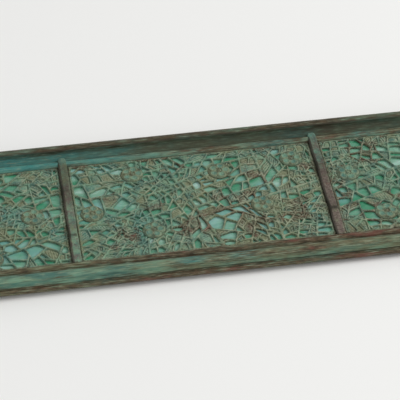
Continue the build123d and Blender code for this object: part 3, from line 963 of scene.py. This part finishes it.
def openwork_fields(x, y, place, panel, seed):
    """Crust, colours, wear, dirt, painted highlights, painted shade and etching over a panel.

    Low noise makes drifts and flecks, and each pad has a tone and a tint of its own. The crust is drier to
    the near right, damp at the left end, and brown in patches and beside the right rest. The bars' crests and
    the pads' rims get wear with a painted highlight, and the bars' feet and the panel's border get dirt with
    painted shade.
    """
    down_bar, into, under = place["down_bar"], place["into"], place["under"]
    crown = np.sqrt(np.clip(1 - down_bar**2, 0, 1)) * (into == 0)
    on_pad = (into > 0).astype(float)
    # Painted shade with dirt at the bars' feet and along the border; a painted highlight with wear on the
    # pads' rims.
    foot = bell(down_bar, 1.0, 0.22) * (1 - ease(into, 0.05, 0.3))
    pad_rim_wear_and_sheen = bell(into, INTO_PAD[1], 0.1) * on_pad
    corner = bell(border_distance(x, y, panel), 0, 0.9)
    drift = layered_noise(x / 16, y / 16, seed + 46)
    fleck = layered_noise(x / 2.6, y / 2.6, seed + 50)
    damp = ease(layered_noise(x / 11, y / 11, seed + 47), 0.15, 0.7)
    wear = 0.5 + 0.5 * layered_noise(x / 4, y / 4, seed + 44)
    rub = ease(layered_noise(x / 1.7, y / 1.7, seed + 45), -0.15, 0.5)
    damp_end = 1 - ease(x, -56, -46)
    dry = 0.8 * ease(x - y, -25, 20) * (1 - 0.75 * ease(x, 46, 56))
    by_rest = bell(x, REST_X + 4.5, 3.0) * (0.3 + 0.7 * wear)
    rusty = ease(layered_noise(x / 9, y / 7, seed + 49), 0.0, 0.5) * (0.3 + 0.7 * ease(x, -60, -35))
    rusty = np.maximum(rusty, by_rest)
    patina = 0.78 - 0.14 * dry + 0.2 * drift + 0.2 * fleck - 0.5 * rusty - 0.3 * corner - 0.06 * damp_end
    olive = 0.25 + 0.25 * dry + 0.35 * drift + 0.35 * fleck - 0.3 * damp + 0.2 * corner + 0.18 * damp_end
    return {
        "patina": patina + on_pad * (0.05 + 0.25 * place["tone"]),
        "olive": olive + on_pad * (0.1 - 0.4 * place["tint"]),
        "teal": 0.4 * damp + 0.3 * on_pad * np.maximum(place["tint"], 0),
        "rust": 0.25 * rusty + 0.15 * by_rest,
        "wear_and_sheen": 0.1 + 0.12 * dry + (crown**4 + pad_rim_wear_and_sheen) * (0.15 + 0.5 * rub) + on_pad * 0.15 * wear,
        "hollow": foot * (0.22 - 0.15 * wear) * (1 - 0.5 * under) + 0.25 * corner,
        "hatch": 0.5 + (place["hatch_x"] * x + place["hatch_y"] * y) / HATCH_SPAN,
        "etch": place["etching"] * on_pad * (1 - 0.6 * rusty),
    }


def blossom_fields(shell, brim, dish, eye, seed):
    """The same fields over a blossom: pale rubbed brims, greener dishes and dirt between the petals."""
    rub = 0.5 + 0.5 * smooth_noise(shell[..., 0] / 1.7, shell[..., 1] / 1.7, seed + 48)
    none = np.zeros(brim.shape)
    return {
        "patina": 0.52 + 0.3 * dish - 0.2 * eye + 0.2 * rub,
        "olive": 0.55 - 0.35 * dish,
        "teal": 0.2 * dish,
        "rust": none,
        "wear_and_sheen": brim * (0.1 + 0.35 * rub),
        "hollow": 0.5 * np.clip(1 - brim - dish, 0, 1) * (1 - eye),
        "hatch": none,
        "etch": none,
    }


def margin_rings(low, high, panel):
    """The flat margin under the moulding and the rests, as rectangles: outwards, down, back in and up."""
    seen_low, seen_high, half_width = panel
    outer = HALF_WIDTH - GLASS_REBATE_INSET - 0.1
    top = SHEET_TOP - 0.02
    rings = []
    for left, right, side, level in (
        (seen_low, seen_high, half_width, top),
        (low, high, outer, top),
        (low, high, outer, GLASS_TOP),
        (seen_low, seen_high, half_width, GLASS_TOP),
        (seen_low, seen_high, half_width, top),
    ):
        rings.append([(left, -side, level), (right, -side, level), (right, side, level), (left, side, level)])
    return np.array(rings)


def openwork_surface(name, low, high, seen_low, seen_high, seed, relief):
    """A pierced and etched sheet: a round-backed bar on every crack, with holes, pads and blossoms between.

    It joins the cells, the blossoms and the margin, each a set of rings of points, into one mesh.
    """
    half_width = HALF_WIDTH - BEAD_INNER_INSET
    panel = (seen_low, seen_high, half_width)
    cells, crossings, blossoms = cracked_ice(seen_low, seen_high, -half_width, half_width, seed)
    x, y, place, faces, first = openwork_plan(cells, crossings, panel, seed)
    parts = [openwork_points(x, y, place, panel, blossoms, seed, relief)]
    fields = openwork_fields(x, y, place, panel, seed)
    for centre in blossoms:
        shell, brim, dish, eye = blossom_shell(centre)
        count, around = brim.shape
        parts.append(shell.reshape(-1, 3))
        cap = np.arange(around) + first
        faces += [*ring_faces(count, around, first), cap, cap + (count - 1) * around]
        added = blossom_fields(shell, brim, dish, eye, seed)
        fields = {field: np.concatenate([values, added[field].ravel()]) for field, values in fields.items()}
        first += count * around
    margin = margin_rings(low, high, panel)
    count, around = margin.shape[:2]
    parts.append(margin.reshape(-1, 3))
    faces += [*ring_faces(count, around, first)]
    none = np.zeros(count * around)
    fields = {field: np.clip(np.concatenate([values, none]), 0, 1) for field, values in fields.items()}
    return finished_piece(name, np.concatenate(parts), faces, fields, sharp=60, weld=True)


# Glass


def pane_surface(name, x_low, x_high, half_width, seed):
    """A pane whose rolled top waves by layered noise, closed by the same grid laid flat below it."""
    columns, rows = int((x_high - x_low) / PANE_STEP), int(2 * half_width / PANE_STEP)
    xs, ys = np.linspace(x_low, x_high, columns), np.linspace(-half_width, half_width, rows)
    x, y = (grid.ravel() for grid in np.meshgrid(xs, ys))
    wave = GLASS_WAVE_DEPTH * (layered_noise(x / 5.5, y / 4.0, seed, 3) - 1.0)
    top = np.stack([x, y, GLASS_TOP + wave], 1)
    bottom = np.stack([x, y, np.full(x.shape, PLATE_TOP)], 1)
    grid = sheet_faces(rows, columns)
    first, last = np.arange(columns), np.arange(columns) + (rows - 1) * columns
    left, right = np.arange(rows) * columns, np.arange(rows) * columns + columns - 1
    walls = []
    for edge in (first, last, left, right):
        walls.append(np.stack([edge[:-1], edge[1:], edge[1:] + len(x), edge[:-1] + len(x)], 1))
    faces = [*grid, *(grid[:, ::-1] + len(x)), *np.concatenate(walls)]
    return finished_piece(name, np.concatenate([top, bottom]), faces, sharp=50)


# Turned pieces


def turned_rings(radii, heights, centre, around):
    """Rings of a turned shape: centre + radius * (cos a, sin a) at each height, for even angles a."""
    angle = np.linspace(0, 2 * math.pi, around, endpoint=False)
    radii, heights = np.asarray(radii, float), np.asarray(heights, float)
    x = centre[0] + radii[:, None] * np.cos(angle)
    y = centre[1] + radii[:, None] * np.sin(angle)
    z = np.broadcast_to(heights[:, None], x.shape)
    return np.stack([x, y, z], -1).reshape(-1, 3)


def foot_surface(name, centre, seed):
    """A button foot: a half circle turned about its own axis between two flats, with fine turning marks."""
    flat_radius = FOOT_RADIUS - FOOT_HEIGHT / 2
    radii, heights = arc((flat_radius, 0.0), (FOOT_RADIUS, FOOT_HEIGHT / 2), (flat_radius, FOOT_HEIGHT), 16).T
    around = FOOT_FACETS
    points = turned_rings(radii, heights, centre, around)
    angle = np.tile(np.linspace(0, 2 * math.pi, around, endpoint=False), len(radii))
    height = points[:, 2]
    free = np.sin(math.pi * np.clip(height / FOOT_HEIGHT, 0, 1))
    marks = TURNING_MARK_DEPTH * (smooth_noise(2 * np.cos(angle) + height, 2 * np.sin(angle), seed) - 1)
    points[:, 0] += marks * free * np.cos(angle)
    points[:, 1] += marks * free * np.sin(angle)
    cap = np.arange(around)
    faces = [*ring_faces(len(radii), around), cap, cap + (len(radii) - 1) * around]
    fields = {
        "patina": np.clip(0.5 + 0.3 * smooth_noise(3 * np.cos(angle), 3 * np.sin(angle), seed + 1), 0, 1),
        "olive": np.full(len(points), 0.5),
        "wear_and_sheen": 0.6 * free**4,
        "hollow": ease(height, 0.8 * FOOT_HEIGHT, FOOT_HEIGHT),
    }
    return finished_piece(name, points, faces, fields, sharp=35)


# Pen rests


def circle_height(at, start, middle, finish):
    """Height at a place along the lower side of the circle through three points."""
    (ax, ay), (bx, by), (cx, cy) = start, middle, finish
    det = 2 * (ax * (by - cy) + bx * (cy - ay) + cx * (ay - by))
    squares = [ax * ax + ay * ay, bx * bx + by * by, cx * cx + cy * cy]
    ux = (squares[0] * (by - cy) + squares[1] * (cy - ay) + squares[2] * (ay - by)) / det
    uy = (squares[0] * (cx - bx) + squares[1] * (ax - cx) + squares[2] * (bx - ax)) / det
    radius = math.hypot(ax - ux, ay - uy)
    return uy - np.sqrt(np.maximum(radius**2 - (at - ux) ** 2, 0))


def rest_crest(y):
    """Height of a rest's top: a circle through each hollow, then flat lands, cusps and ends rubbed round."""
    cusp, hollow, land = (LIP_TOP - drop for drop in (REST_CUSP_DROP, REST_HOLLOW_DROP, REST_LAND_DROP))
    land_y = HALF_WIDTH - REST_LAND_INSET
    side = (land_y + REST_CUSP_Y) / 2
    across = np.abs(y)
    middle = circle_height(across, (-REST_CUSP_Y, cusp), (0, hollow), (REST_CUSP_Y, cusp))
    outer = circle_height(across, (REST_CUSP_Y, cusp), (side, hollow), (land_y, land))
    crest = np.where(across < REST_CUSP_Y, middle, np.where(across < land_y, outer, land))
    rubbed = 0.12 * np.exp(-(((across - REST_CUSP_Y) / 0.5) ** 2))
    to_end = np.maximum(y - REST_FAR_END, REST_NEAR_END - y) / REST_EDGE_ROUND + 1
    return crest - rubbed - REST_EDGE_ROUND * (1 - np.sqrt(1 - np.clip(to_end, 0, 1) ** 2))


def rest_end_share(y):
    """How much of its width a rest keeps along its length: all of it, then a quarter circle at the tip."""
    past = np.clip(y - REST_FAR_END + REST_END_ROUND, 0, REST_END_ROUND)
    return 1 - (REST_END_ROUND - np.sqrt(REST_END_ROUND**2 - past**2)) / (REST_WIDTH / 2)


def rest_floor(y):
    """Height of what the rest stands on: the panel, and the bead and cove of the moulding under its ends."""
    inset, height, _, showing = moulding_section()
    inner = (showing > 0) & (inset >= COVE_TOP[0] - 0.01)
    order = np.argsort(inset[inner])
    moulding = np.interp(HALF_WIDTH - np.abs(y), inset[inner][order], height[inner][order])
    return np.where(np.abs(y) < HALF_WIDTH - BEAD_INNER_INSET, SHEET_TOP, moulding)


def rest_fields(x, y, oval, crest, height, seed, looks):
    """Crust, colours, wear, dirt, painted highlights and painted shade over a rest, whose looks change along
    it.

    The flat tops of the hollows are rubbed, both flanks are darker towards their feet, painted shade lies on
    the steep face in front of each cusp and on the side away from the light, a painted highlight runs along
    the lit edge, and the far tip keeps its crust with a painted highlight.
    """
    flat = ease(oval - crest, -0.35, 0.1)
    low_side = 1 - ease(height / crest, 0.2, 0.8)
    # Painted shade on the steep face in front of each cusp.
    step = bell(y, -REST_CUSP_Y - 1.1, 0.8) + 0.4 * bell(y, REST_CUSP_Y - 0.7, 0.5)
    clouds = layered_noise(y / 7, x / 4, seed + 1)
    wear = layered_noise(y / 3, x / 1.5, seed + 2)
    mottle = layered_noise(y / 2.0, x / 1.2, seed + 3)
    far_hollow = ease(y, REST_CUSP_Y - 1, REST_CUSP_Y + 1)
    tip = ease(y, REST_FAR_END - 4.5, REST_FAR_END - 1.5)
    # Painted shade on the side away from the light, and a painted highlight along the lit edge.
    lee_shade = ease(-x, 0.7, 1.3) * (1 - tip)
    lit_edge = ease(x, 1.2, 1.6)
    cusp_rust = looks["rust"] * bell(y, REST_CUSP_Y - 1.2, 1.0)

    def look(quality):
        return np.interp(y, REST_LOOK_PLACES, looks[quality])

    dirt_and_shade = look("dirt_and_shade") - 0.12 * wear + looks["lee_shade"] * lee_shade
    fields = {
        "patina": look("patina") + 0.3 * clouds + 0.35 * mottle + 0.4 * tip + 0.2 * (1 - flat) - 0.3 * lee_shade,
        "olive": look("olive") + 0.3 * mottle - 0.5 * tip + 0.4 * lee_shade,
        "teal": 0.4 * tip + 0.4 * looks["blue"] * far_hollow * (0.5 + 0.5 * clouds),
        "rust": cusp_rust * (0.5 + 0.5 * wear),
        "wear_and_sheen": 0.2 * flat * (0.6 + 0.4 * wear) + 0.25 * tip + 0.35 * lit_edge * (0.6 + 0.4 * wear),
        "hollow": 0.8 * low_side + 0.6 * looks["step"] * step * flat + dirt_and_shade,
    }
    return {field: np.clip(values, 0, 1).ravel() for field, values in fields.items()}


def rest_surface(name, middle_x, seed, looks, relief):
    """A half-oval bar across the tray, cut by three hollows, over the floor that it stands on.

    Stations lie at middle + half span * sin(t), closer at the ends. Across, a point lies at half width *
    cos(a), and its height is the oval's, REST_OVAL_HEIGHT * sin(a), and the crest's joined as
    (o^-n + c^-n)^(-1/n), which rounds the edge between them. Low noise pushes it in, as cast metal rubbed by
    pens. Two studs go down.
    """
    middle, half_span = (REST_FAR_END + REST_NEAR_END) / 2, (REST_FAR_END - REST_NEAR_END) / 2
    along = middle + half_span * np.sin(np.linspace(-math.pi / 2, math.pi / 2, REST_STATIONS))[:, None]
    turn = np.linspace(0, math.pi, REST_COLUMNS)[None, :]
    oval = REST_OVAL_HEIGHT * np.maximum(np.sin(turn), 0.002)
    crest = rest_crest(along) - SHEET_TOP
    height = (oval**-REST_BLEND + crest**-REST_BLEND) ** (-1 / REST_BLEND)
    x = np.broadcast_to(REST_WIDTH / 2 * rest_end_share(along) * np.cos(turn), height.shape)
    y = np.broadcast_to(along, height.shape)
    push = REST_WEAR_DEPTH * relief * (layered_noise(y / 3.2, x / 1.8, seed) - 1)
    floor = rest_floor(along) - BURIED
    z = np.maximum(SHEET_TOP + height + push, floor)
    z[:, [0, -1]] = floor
    points = np.stack([middle_x + x + push * np.cos(turn), y, z], -1).reshape(-1, 3)
    cap = np.arange(REST_COLUMNS)
    faces = [*ring_faces(REST_STATIONS, REST_COLUMNS), cap, cap + (REST_STATIONS - 1) * REST_COLUMNS]
    fields = rest_fields(x, y, oval, crest, height, seed, looks)
    for sign in (-1, 1):
        centre = (middle_x, sign * STUD_Y)
        stud = turned_rings([STUD_RADIUS] * 2, [STUD_FOOT, SHEET_TOP - 0.1], centre, STUD_FACETS)
        first = len(points)
        end = np.arange(STUD_FACETS) + first
        faces += [*ring_faces(2, STUD_FACETS, first), end, end + STUD_FACETS]
        points = np.concatenate([points, stud])
        plain = np.full(len(stud), 0.2)
        fields = {field: np.concatenate([values, plain]) for field, values in fields.items()}
    return finished_piece(name, points, faces, fields, sharp=50)


# Studio


def paper_table(colour):
    """One square of matt white paper with a faint fibre, at height 0."""
    half = TABLE_HALF_SIDE
    mesh = bpy.data.meshes.new("table")
    corners = [(-half, -half, 0), (half, -half, 0), (half, half, 0), (-half, half, 0)]
    mesh.from_pydata(corners, [], [(0, 1, 2, 3)])
    paper, tree, output = new_material("white_sweep_paper")
    place = add_node(tree, "ShaderNodeTexCoord").outputs["Object"]
    fibre_inputs = {"Vector": place, "Scale": 900.0, "Detail": 2.0}
    fibre = add_node(tree, "ShaderNodeTexNoise", fibre_inputs).outputs[0]
    bump = add_node(tree, "ShaderNodeBump", {"Height": fibre, "Strength": 0.05, "Distance": 0.1 * MM})
    inputs = {"Base Color": (*colour, 1), "Roughness": 0.9, "Normal": bump.outputs[0]}
    shader = add_node(tree, "ShaderNodeBsdfPrincipled", inputs)
    tree.links.new(shader.outputs[0], output.inputs[0])
    mesh.materials.append(paper)
    return bpy.data.objects.new("table", mesh)


def softbox(name, place, power):
    """A square area lamp that faces the middle of the tray."""
    light = bpy.data.lights.new(name, "AREA")
    light.shape = "SQUARE"
    light.size = SOFTBOX_SIDE
    light.energy = power
    lamp = bpy.data.objects.new(name, light)
    lamp.location = place
    lamp.rotation_euler = (-Vector(place)).to_track_quat("-Z", "Y").to_euler()
    return lamp


def even_room(strength):
    """White light of one strength from all round."""
    world = bpy.data.worlds.new("even_room")
    world.use_nodes = True
    background = world.node_tree.nodes["Background"]
    background.inputs["Color"].default_value = (1.0, 1.0, 1.0, 1.0)
    background.inputs["Strength"].default_value = strength
    return world


def photograph_camera():
    """A camera on the line through its target, turned by its azimuth and tilted down by its elevation."""
    azimuth, elevation = math.radians(CAMERA_AZIMUTH), math.radians(CAMERA_ELEVATION)
    level = math.cos(elevation)
    look_along = Vector((math.sin(azimuth) * level, math.cos(azimuth) * level, -math.sin(elevation)))
    lens = bpy.data.cameras.new("photograph_camera")
    lens.sensor_fit = "HORIZONTAL"
    lens.sensor_width = SENSOR
    lens.lens = FOCAL_PIXELS / PHOTO_SIDE * SENSOR
    lens.clip_start = 0.01
    lens.clip_end = 20.0
    camera = bpy.data.objects.new("photograph_camera", lens)
    camera.location = Vector(CAMERA_TARGET) * MM - look_along * CAMERA_DISTANCE * MM
    camera.rotation_euler = look_along.to_track_quat("-Z", "Y").to_euler()
    return camera


# What a user would change


def colour_property(name, description, hex_colour):
    """A colour picker whose default is given as sRGB hex."""
    return bpy.props.FloatVectorProperty(
        name=name,
        description=description,
        subtype="COLOR",
        size=3,
        min=0.0,
        max=1.0,
        default=linear(hex_colour),
    )


class TrayFinish(bpy.types.PropertyGroup):
    """Colours of the bronze, the glass and the studio."""

    brown_oxide: colour_property("Brown oxide", "Bare patches of the bronze", "#64543F")
    dark_oxide: colour_property("Dark oxide", "Darker clouds of the same brown", "#3F392B")
    rubbed_brown: colour_property("Rubbed brown", "Smooth brown of the rests", "#7E7068")
    rubbed_shade: colour_property("Rubbed shade", "Darker clouds of the rests", "#584C45")
    cuprite: colour_property("Cuprite", "Red oxide that shows where the crust has lifted", "#6F473D")
    verdigris: colour_property("Verdigris", "Green crust", "#72947A")
    deep_verdigris: colour_property("Deep verdigris", "Darker green crust", "#486A5E")
    olive: colour_property("Olive", "Crust that has turned yellow green", "#707659")
    teal: colour_property("Teal", "Blue green crust of the damp end", "#3C7D78")
    # Pale bloom also paints highlights, and groove dirt also paints shade.
    pale_bloom_and_sheen: colour_property("Pale bloom", "Rubbed ridges of the crust", "#9FA58C")
    dirt_and_shade_colour: colour_property("Groove dirt", "Dirt in grooves and corners", "#26271D")
    emerald: colour_property("Emerald", "Deep parts of the glass", "#338561")
    mid_glass: colour_property("Middle green", "Middle tone of the glass", "#62987E")
    pale_glass: colour_property("Pale green", "Pale tone of the glass", "#80AA94")
    blue_milk: colour_property("Blue milk", "Bluish clouds of the glass", "#78A9A4")
    milk: colour_property("Milk", "White wisps of the glass", "#A6C6BA")
    paper: colour_property("Table", "Pale table and backdrop", "#F1F1EF")


class TraySizes(bpy.types.PropertyGroup):
    """Sizes of the surface detail."""

    moulding_relief: bpy.props.FloatProperty(
        name="Moulding relief", description="Depth of drawing lines and dents", default=1.0, min=0.0, max=2.0
    )
    openwork_relief: bpy.props.FloatProperty(
        name="Openwork relief", description="Height of the bars' crowns", default=1.0, min=0.0, max=1.2
    )
    rest_relief: bpy.props.FloatProperty(
        name="Rest relief", description="Depth of wear on the pen rests", default=1.0, min=0.0, max=2.0
    )
    key_power: bpy.props.FloatProperty(
        name="Key lamp", description="Power of the lamp on the right", default=26.0, min=0.0, unit="POWER"
    )
    fill_power: bpy.props.FloatProperty(
        name="Fill lamp", description="Power of the front lamp", default=1.6, min=0.0, unit="POWER"
    )
    sky_strength: bpy.props.FloatProperty(
        name="Room light", description="Strength of the even light all round", default=0.55, min=0.0
    )


# Operators, one for each piece or group of like pieces


class PENTRAY_OT_rim(bpy.types.Operator):
    """Build the four lengths of the rim moulding"""

    bl_idname = "pen_tray.rim"
    bl_label = "Rim moulding"
    bl_options = {"REGISTER", "UNDO"}

    def execute(self, context):
        look, sizes = context.scene.tray_finish, context.scene.tray_sizes
        bare = (look.dark_oxide, look.brown_oxide)
        bronze = shared_bronze("moulding", look, bare, metal=0.35, grit=1.0, lengthwise=True)
        sides = [
            ("front_rail", (0, -1), HALF_LENGTH, HALF_WIDTH, NEAR_TONES),
            ("back_rail", (0, 1), HALF_LENGTH, HALF_WIDTH, FAR_TONES),
            ("left_rail", (-1, 0), HALF_WIDTH, HALF_LENGTH, FAR_TONES),
            ("right_rail", (1, 0), HALF_WIDTH, HALF_LENGTH, NEAR_TONES),
        ]
        for seed, (node, outward, half_run, half_depth, tones) in enumerate(sides):
            name = f"{node}_moulding"
            piece = rail_surface(name, outward, half_run, half_depth, 10 * seed, tones, sizes.moulding_relief)
            take_place(piece, node, bronze)
        return {"FINISHED"}


class PENTRAY_OT_openwork(bpy.types.Operator):
    """Build the three pierced panels of the floor"""

    bl_idname = "pen_tray.openwork"
    bl_label = "Openwork panels"
    bl_options = {"REGISTER", "UNDO"}

    def execute(self, context):
        look, sizes = context.scene.tray_finish, context.scene.tray_sizes
        bare = (look.dark_oxide, look.brown_oxide)
        bronze = shared_bronze("openwork", look, bare, metal=0.2, grit=1.0, etched=True)
        inner, outer = REST_X - REST_WIDTH / 2, REST_X + REST_WIDTH / 2
        end = HALF_LENGTH - BEAD_INNER_INSET
        seen = {"left": (-end, -outer), "centre": (-inner, inner), "right": (outer, end)}
        for side, (seen_low, seen_high) in seen.items():
            low, high = (corner.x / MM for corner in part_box(f"{side}_openwork"))
            span = (low, high, seen_low, seen_high)
            name, seed = f"{side}_openwork_relief", PANEL_SEEDS[side]
            piece = openwork_surface(name, *span, seed, sizes.openwork_relief)
            take_place(piece, f"{side}_openwork", bronze)
        return {"FINISHED"}


class PENTRAY_OT_glass(bpy.types.Operator):
    """Build the three panes under the openwork"""

    bl_idname = "pen_tray.glass"
    bl_label = "Glass panes"
    bl_options = {"REGISTER", "UNDO"}

    def execute(self, context):
        glass = opalescent_glass(context.scene.tray_finish)
        for seed, side in enumerate(("left", "centre", "right")):
            low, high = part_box(f"{side}_glass")
            piece = pane_surface(f"{side}_slag_glass", low.x / MM, high.x / MM, high.y / MM, 60 + seed)
            take_place(piece, f"{side}_glass", glass)
        return {"FINISHED"}


class PENTRAY_OT_rests(bpy.types.Operator):
    """Build the two scalloped bars that hold pens apart"""

    bl_idname = "pen_tray.rests"
    bl_label = "Pen rests"
    bl_options = {"REGISTER", "UNDO"}

    def execute(self, context):
        look, sizes = context.scene.tray_finish, context.scene.tray_sizes
        bare = (look.rubbed_shade, look.rubbed_brown)
        bronze = shared_bronze("rubbed", look, bare, metal=0.4, grit=0.7)
        rests = (("left", -REST_X, LEFT_REST_LOOK), ("right", REST_X, RIGHT_REST_LOOK))
        for seed, (side, x, looks) in enumerate(rests):
            piece = rest_surface(f"{side}_scalloped_rest", x, 80 + 5 * seed, looks, sizes.rest_relief)
            take_place(piece, f"{side}_pen_rest", bronze)
        return {"FINISHED"}


class PENTRAY_OT_feet(bpy.types.Operator):
    """Build the four button feet"""

    bl_idname = "pen_tray.feet"
    bl_label = "Button feet"
    bl_options = {"REGISTER", "UNDO"}

    def execute(self, context):
        look = context.scene.tray_finish
        bare = (look.dark_oxide, look.brown_oxide)
        bronze = shared_bronze("turned", look, bare, metal=0.4, grit=0.5)
        for seed, corner in enumerate(("front_left", "front_right", "back_left", "back_right")):
            low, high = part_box(f"{corner}_foot")
            centre = ((low.x + high.x) / 2 / MM, (low.y + high.y) / 2 / MM)
            piece = foot_surface(f"{corner}_button_foot", centre, 90 + seed)
            take_place(piece, f"{corner}_foot", bronze)
        return {"FINISHED"}


class PENTRAY_OT_underside(bpy.types.Operator):
    """Give the back plate, its screws and the nuts their tarnished finish"""

    bl_idname = "pen_tray.underside"
    bl_label = "Plate and fasteners"
    bl_options = {"REGISTER", "UNDO"}

    def execute(self, context):
        look = context.scene.tray_finish
        plate = dull_metal("tarnished_bronze_sheet", look.dark_oxide, look.brown_oxide, 14.0, 0.5, 0.5)
        brass = dull_metal("dull_brass", linear("#6B5D3A"), linear("#8D7A4B"), 3.0, 0.8, 0.42)
        for node, material in (("back_plate", plate), ("plate_screws", brass), ("rest_nuts", brass)):
            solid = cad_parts[node]
            solid.data.materials.clear()
            solid.data.materials.append(material)
        return {"FINISHED"}


class PENTRAY_OT_stage(bpy.types.Operator):
    """Lay the pale table, hang the lamps and set the camera of the photograph"""

    bl_idname = "pen_tray.stage"
    bl_label = "Studio"
    bl_options = {"REGISTER", "UNDO"}

    def execute(self, context):
        scene, sizes, look = context.scene, context.scene.tray_sizes, context.scene.tray_finish
        table = paper_table(look.paper)
        scene.collection.objects.link(table)
        scene.collection.objects.link(softbox("key_softbox", KEY_PLACE, sizes.key_power))
        scene.collection.objects.link(softbox("front_softbox", FILL_PLACE, sizes.fill_power))
        scene.world = even_room(sizes.sky_strength)
        scene.camera = photograph_camera()
        scene.collection.objects.link(scene.camera)
        scene.view_settings.view_transform = "Standard"
        return {"FINISHED"}


OPERATORS = (
    PENTRAY_OT_stage,
    PENTRAY_OT_rim,
    PENTRAY_OT_openwork,
    PENTRAY_OT_glass,
    PENTRAY_OT_rests,
    PENTRAY_OT_feet,
    PENTRAY_OT_underside,
)


class PENTRAY_PT_panel(bpy.types.Panel):
    """Lists the pieces of the tray and the values behind them"""

    bl_idname = "PENTRAY_PT_panel"
    bl_label = "Pen tray"
    bl_space_type = "VIEW_3D"
    bl_region_type = "UI"
    bl_category = "Pen tray"

    def draw(self, context):
        for group in (context.scene.tray_sizes, context.scene.tray_finish):
            for key in group.__annotations__:
                self.layout.prop(group, key)
        for operator in OPERATORS:
            self.layout.operator(operator.bl_idname)


CLASSES = (TrayFinish, TraySizes, *OPERATORS, PENTRAY_PT_panel)


def register():
    """Make the classes and the scene's two groups of values known to Blender."""
    for cls in CLASSES:
        bpy.utils.register_class(cls)
    bpy.types.Scene.tray_finish = bpy.props.PointerProperty(type=TrayFinish)
    bpy.types.Scene.tray_sizes = bpy.props.PointerProperty(type=TraySizes)


def unregister():
    """Take them away again, in the opposite order."""
    del bpy.types.Scene.tray_sizes
    del bpy.types.Scene.tray_finish
    for cls in reversed(CLASSES):
        bpy.utils.unregister_class(cls)


def main():
    """Build every piece in order."""
    register()
    bpy.ops.pen_tray.stage()
    bpy.ops.pen_tray.rim()
    bpy.ops.pen_tray.openwork()
    bpy.ops.pen_tray.glass()
    bpy.ops.pen_tray.rests()
    bpy.ops.pen_tray.feet()
    bpy.ops.pen_tray.underside()


if __name__ == "__main__":
    main()
